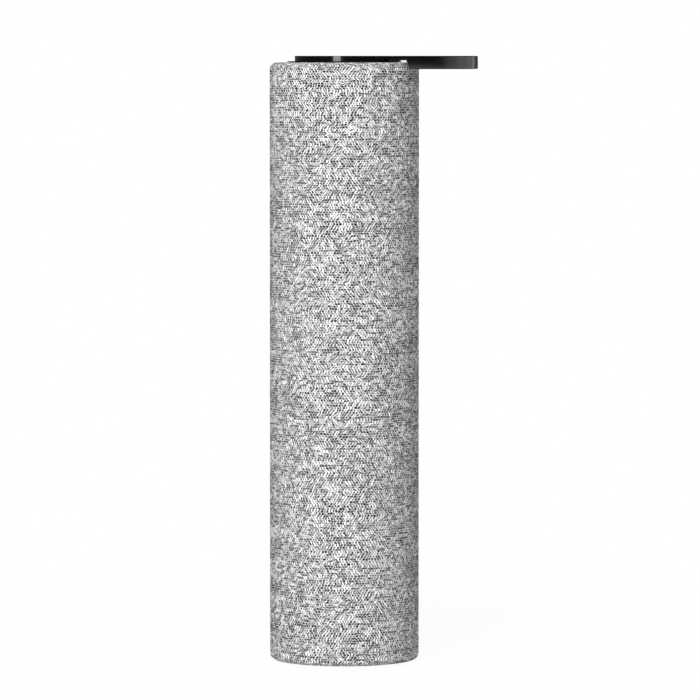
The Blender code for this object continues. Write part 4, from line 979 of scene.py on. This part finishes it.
def make_power_button():
    front, back = POWER_HIGH.y, POWER_LOW.y
    centre_z = (POWER_LOW.z + POWER_HIGH.z) / 2
    profile = [
        (0, front - 0.2 * MM),
        (2.6 * MM, front - 0.15 * MM),
        *arc(BUTTON_R - 0.4 * MM, front - 0.4 * MM, 0.4 * MM, 90, 0, 6),
        (BUTTON_R, 33.2 * MM),
        (4.9 * MM, 33.2 * MM),
        (4.9 * MM, back),
        (0, back),
    ]
    button = lathe("power_button_cap", profile, SATIN, 64, upright(0, centre_z))
    stands_for(button, "power_button", "power_button")
    z = front - 0.2 * MM
    inner, outer = 1.05 * MM, 1.35 * MM
    gap = math.radians(35)
    turns = [math.pi / 2 + gap + (2 * math.pi - 2 * gap) * k / 32 for k in range(33)]
    ring = [(outer * math.cos(a), outer * math.sin(a)) for a in turns]
    ring += [(inner * math.cos(a), inner * math.sin(a)) for a in reversed(turns)]
    bar = [(x, y + 0.95 * MM) for x, y in stadium(0.3 * MM, 1.5 * MM, 7)]
    bm = bmesh.new()
    for outline in (ring, bar):
        scratch = prism("glyph", outline, z - 0.04 * MM, z + 0.08 * MM, matrix=upright(0, centre_z))
        bm.from_mesh(scratch.data)
        bpy.data.objects.remove(scratch)
    detail(mesh_object("power_print", bm, PRINT), "satin_black", "power_button")


def make_lens():
    centre_z = (LENS_LOW.z + LENS_HIGH.z) / 2
    radius = 0.9 * MM
    profile = [(0, LENS_HIGH.y), (0.45 * MM, LENS_HIGH.y - 0.04 * MM), (0.78 * MM, LENS_HIGH.y - 0.15 * MM),
               (radius, LENS_HIGH.y - 0.35 * MM), (radius, LENS_LOW.y), (0, LENS_LOW.y)]
    lens = lathe("status_lens_clear", profile, FROSTED, 32, upright(0, centre_z))
    stands_for(lens, "status_lens")


def make_socket():
    """A stamped steel shell with a contact tongue and its gold contacts."""
    centre_z = (SOCKET_LOW.z + SOCKET_HIGH.z) / 2
    width, height = SOCKET_HIGH.x - SOCKET_LOW.x, SOCKET_HIGH.z - SOCKET_LOW.z
    back, front = SOCKET_LOW.y, SOCKET_HIGH.y
    place = upright(0, centre_z)
    shell = prism("usb_socket_shell", stadium(width, height), back, front, STEEL, place)
    wall = 0.32 * MM
    inside = stadium(width - 2 * wall, height - 2 * wall)
    cavity = prism("cavity", inside, back + 2 * MM, front + 2 * MM, matrix=place)
    cut(shell, cavity)
    soften(shell, 0.08 * MM, 2)
    stands_for(shell, "usb_socket")
    blade = stadium(6.7 * MM, 0.7 * MM)
    tongue = prism("usb_tongue", blade, back + MM, front - 1.2 * MM, MOULDED, place, bevel=0.1 * MM)
    detail(tongue, "black_plastic")
    bm = bmesh.new()
    for side in (-1, 1):
        for k in range(12):
            x = (k - 5.5) * 0.5 * MM
            y = side * 0.36 * MM
            outline = [(x - 0.13 * MM, y - 0.04 * MM), (x + 0.13 * MM, y - 0.04 * MM),
                       (x + 0.13 * MM, y + 0.04 * MM), (x - 0.13 * MM, y + 0.04 * MM)]
            scratch = prism("contact", outline, front - 5 * MM, front - 1.5 * MM, matrix=place)
            bm.from_mesh(scratch.data)
            bpy.data.objects.remove(scratch)
    detail(mesh_object("usb_contacts", bm, GOLD), "steel")


# ================================================================ foot
def make_foot():
    """A rubber disc with a moulded rim, and fine rings that grip the table."""
    top = PAD_HIGH.z
    outer = PAD_HIGH.x
    profile = [(0, top), (outer - 0.4 * MM, top), (outer, top - 0.4 * MM)]
    profile += [(outer, 0.5 * MM), (outer - 0.5 * MM, 0)]
    profile += [(26.5 * MM, 0), (26.0 * MM, 0.6 * MM), (24.5 * MM, 0.6 * MM), (24.0 * MM, 0)]
    radius = 22.5 * MM
    while radius > 5 * MM:
        profile += [(radius, 0), (radius - 0.3 * MM, 0.25 * MM), (radius - 0.9 * MM, 0.25 * MM),
                    (radius - 1.2 * MM, 0)]
        radius -= 3.0 * MM
    profile += [(0, 0)]
    stands_for(lathe("foot_pad_rubber", profile, RUBBER, 160), "foot_pad")


# ================================================================ inner parts
def dress_inner_nodes():
    """Every CAD node that still shows gets its slot's procedural material."""
    slots = {part["node"]: part["material_slot"] for part in frame["record"]["subparts"]}
    for name, obj in NODES.items():
        if obj.hide_render:
            continue
        material = SLOT_MATERIALS[slots[name]]
        for holder in obj.material_slots:
            holder.material = material
        if not obj.material_slots:
            obj.data.materials.append(material)


make_camera()
studio_lamps, strap_panels = make_studio()
make_sleeve()
make_seam_thread()
make_trim_ring()
make_cap()
make_light_ring()
make_buttons()
strap = make_strap()
light_only(strap_panels, strap)
light_all_but(studio_lamps, strap)
make_pins()
make_rear_panel()
make_power_button()
make_lens()
make_socket()
make_foot()
dress_inner_nodes()
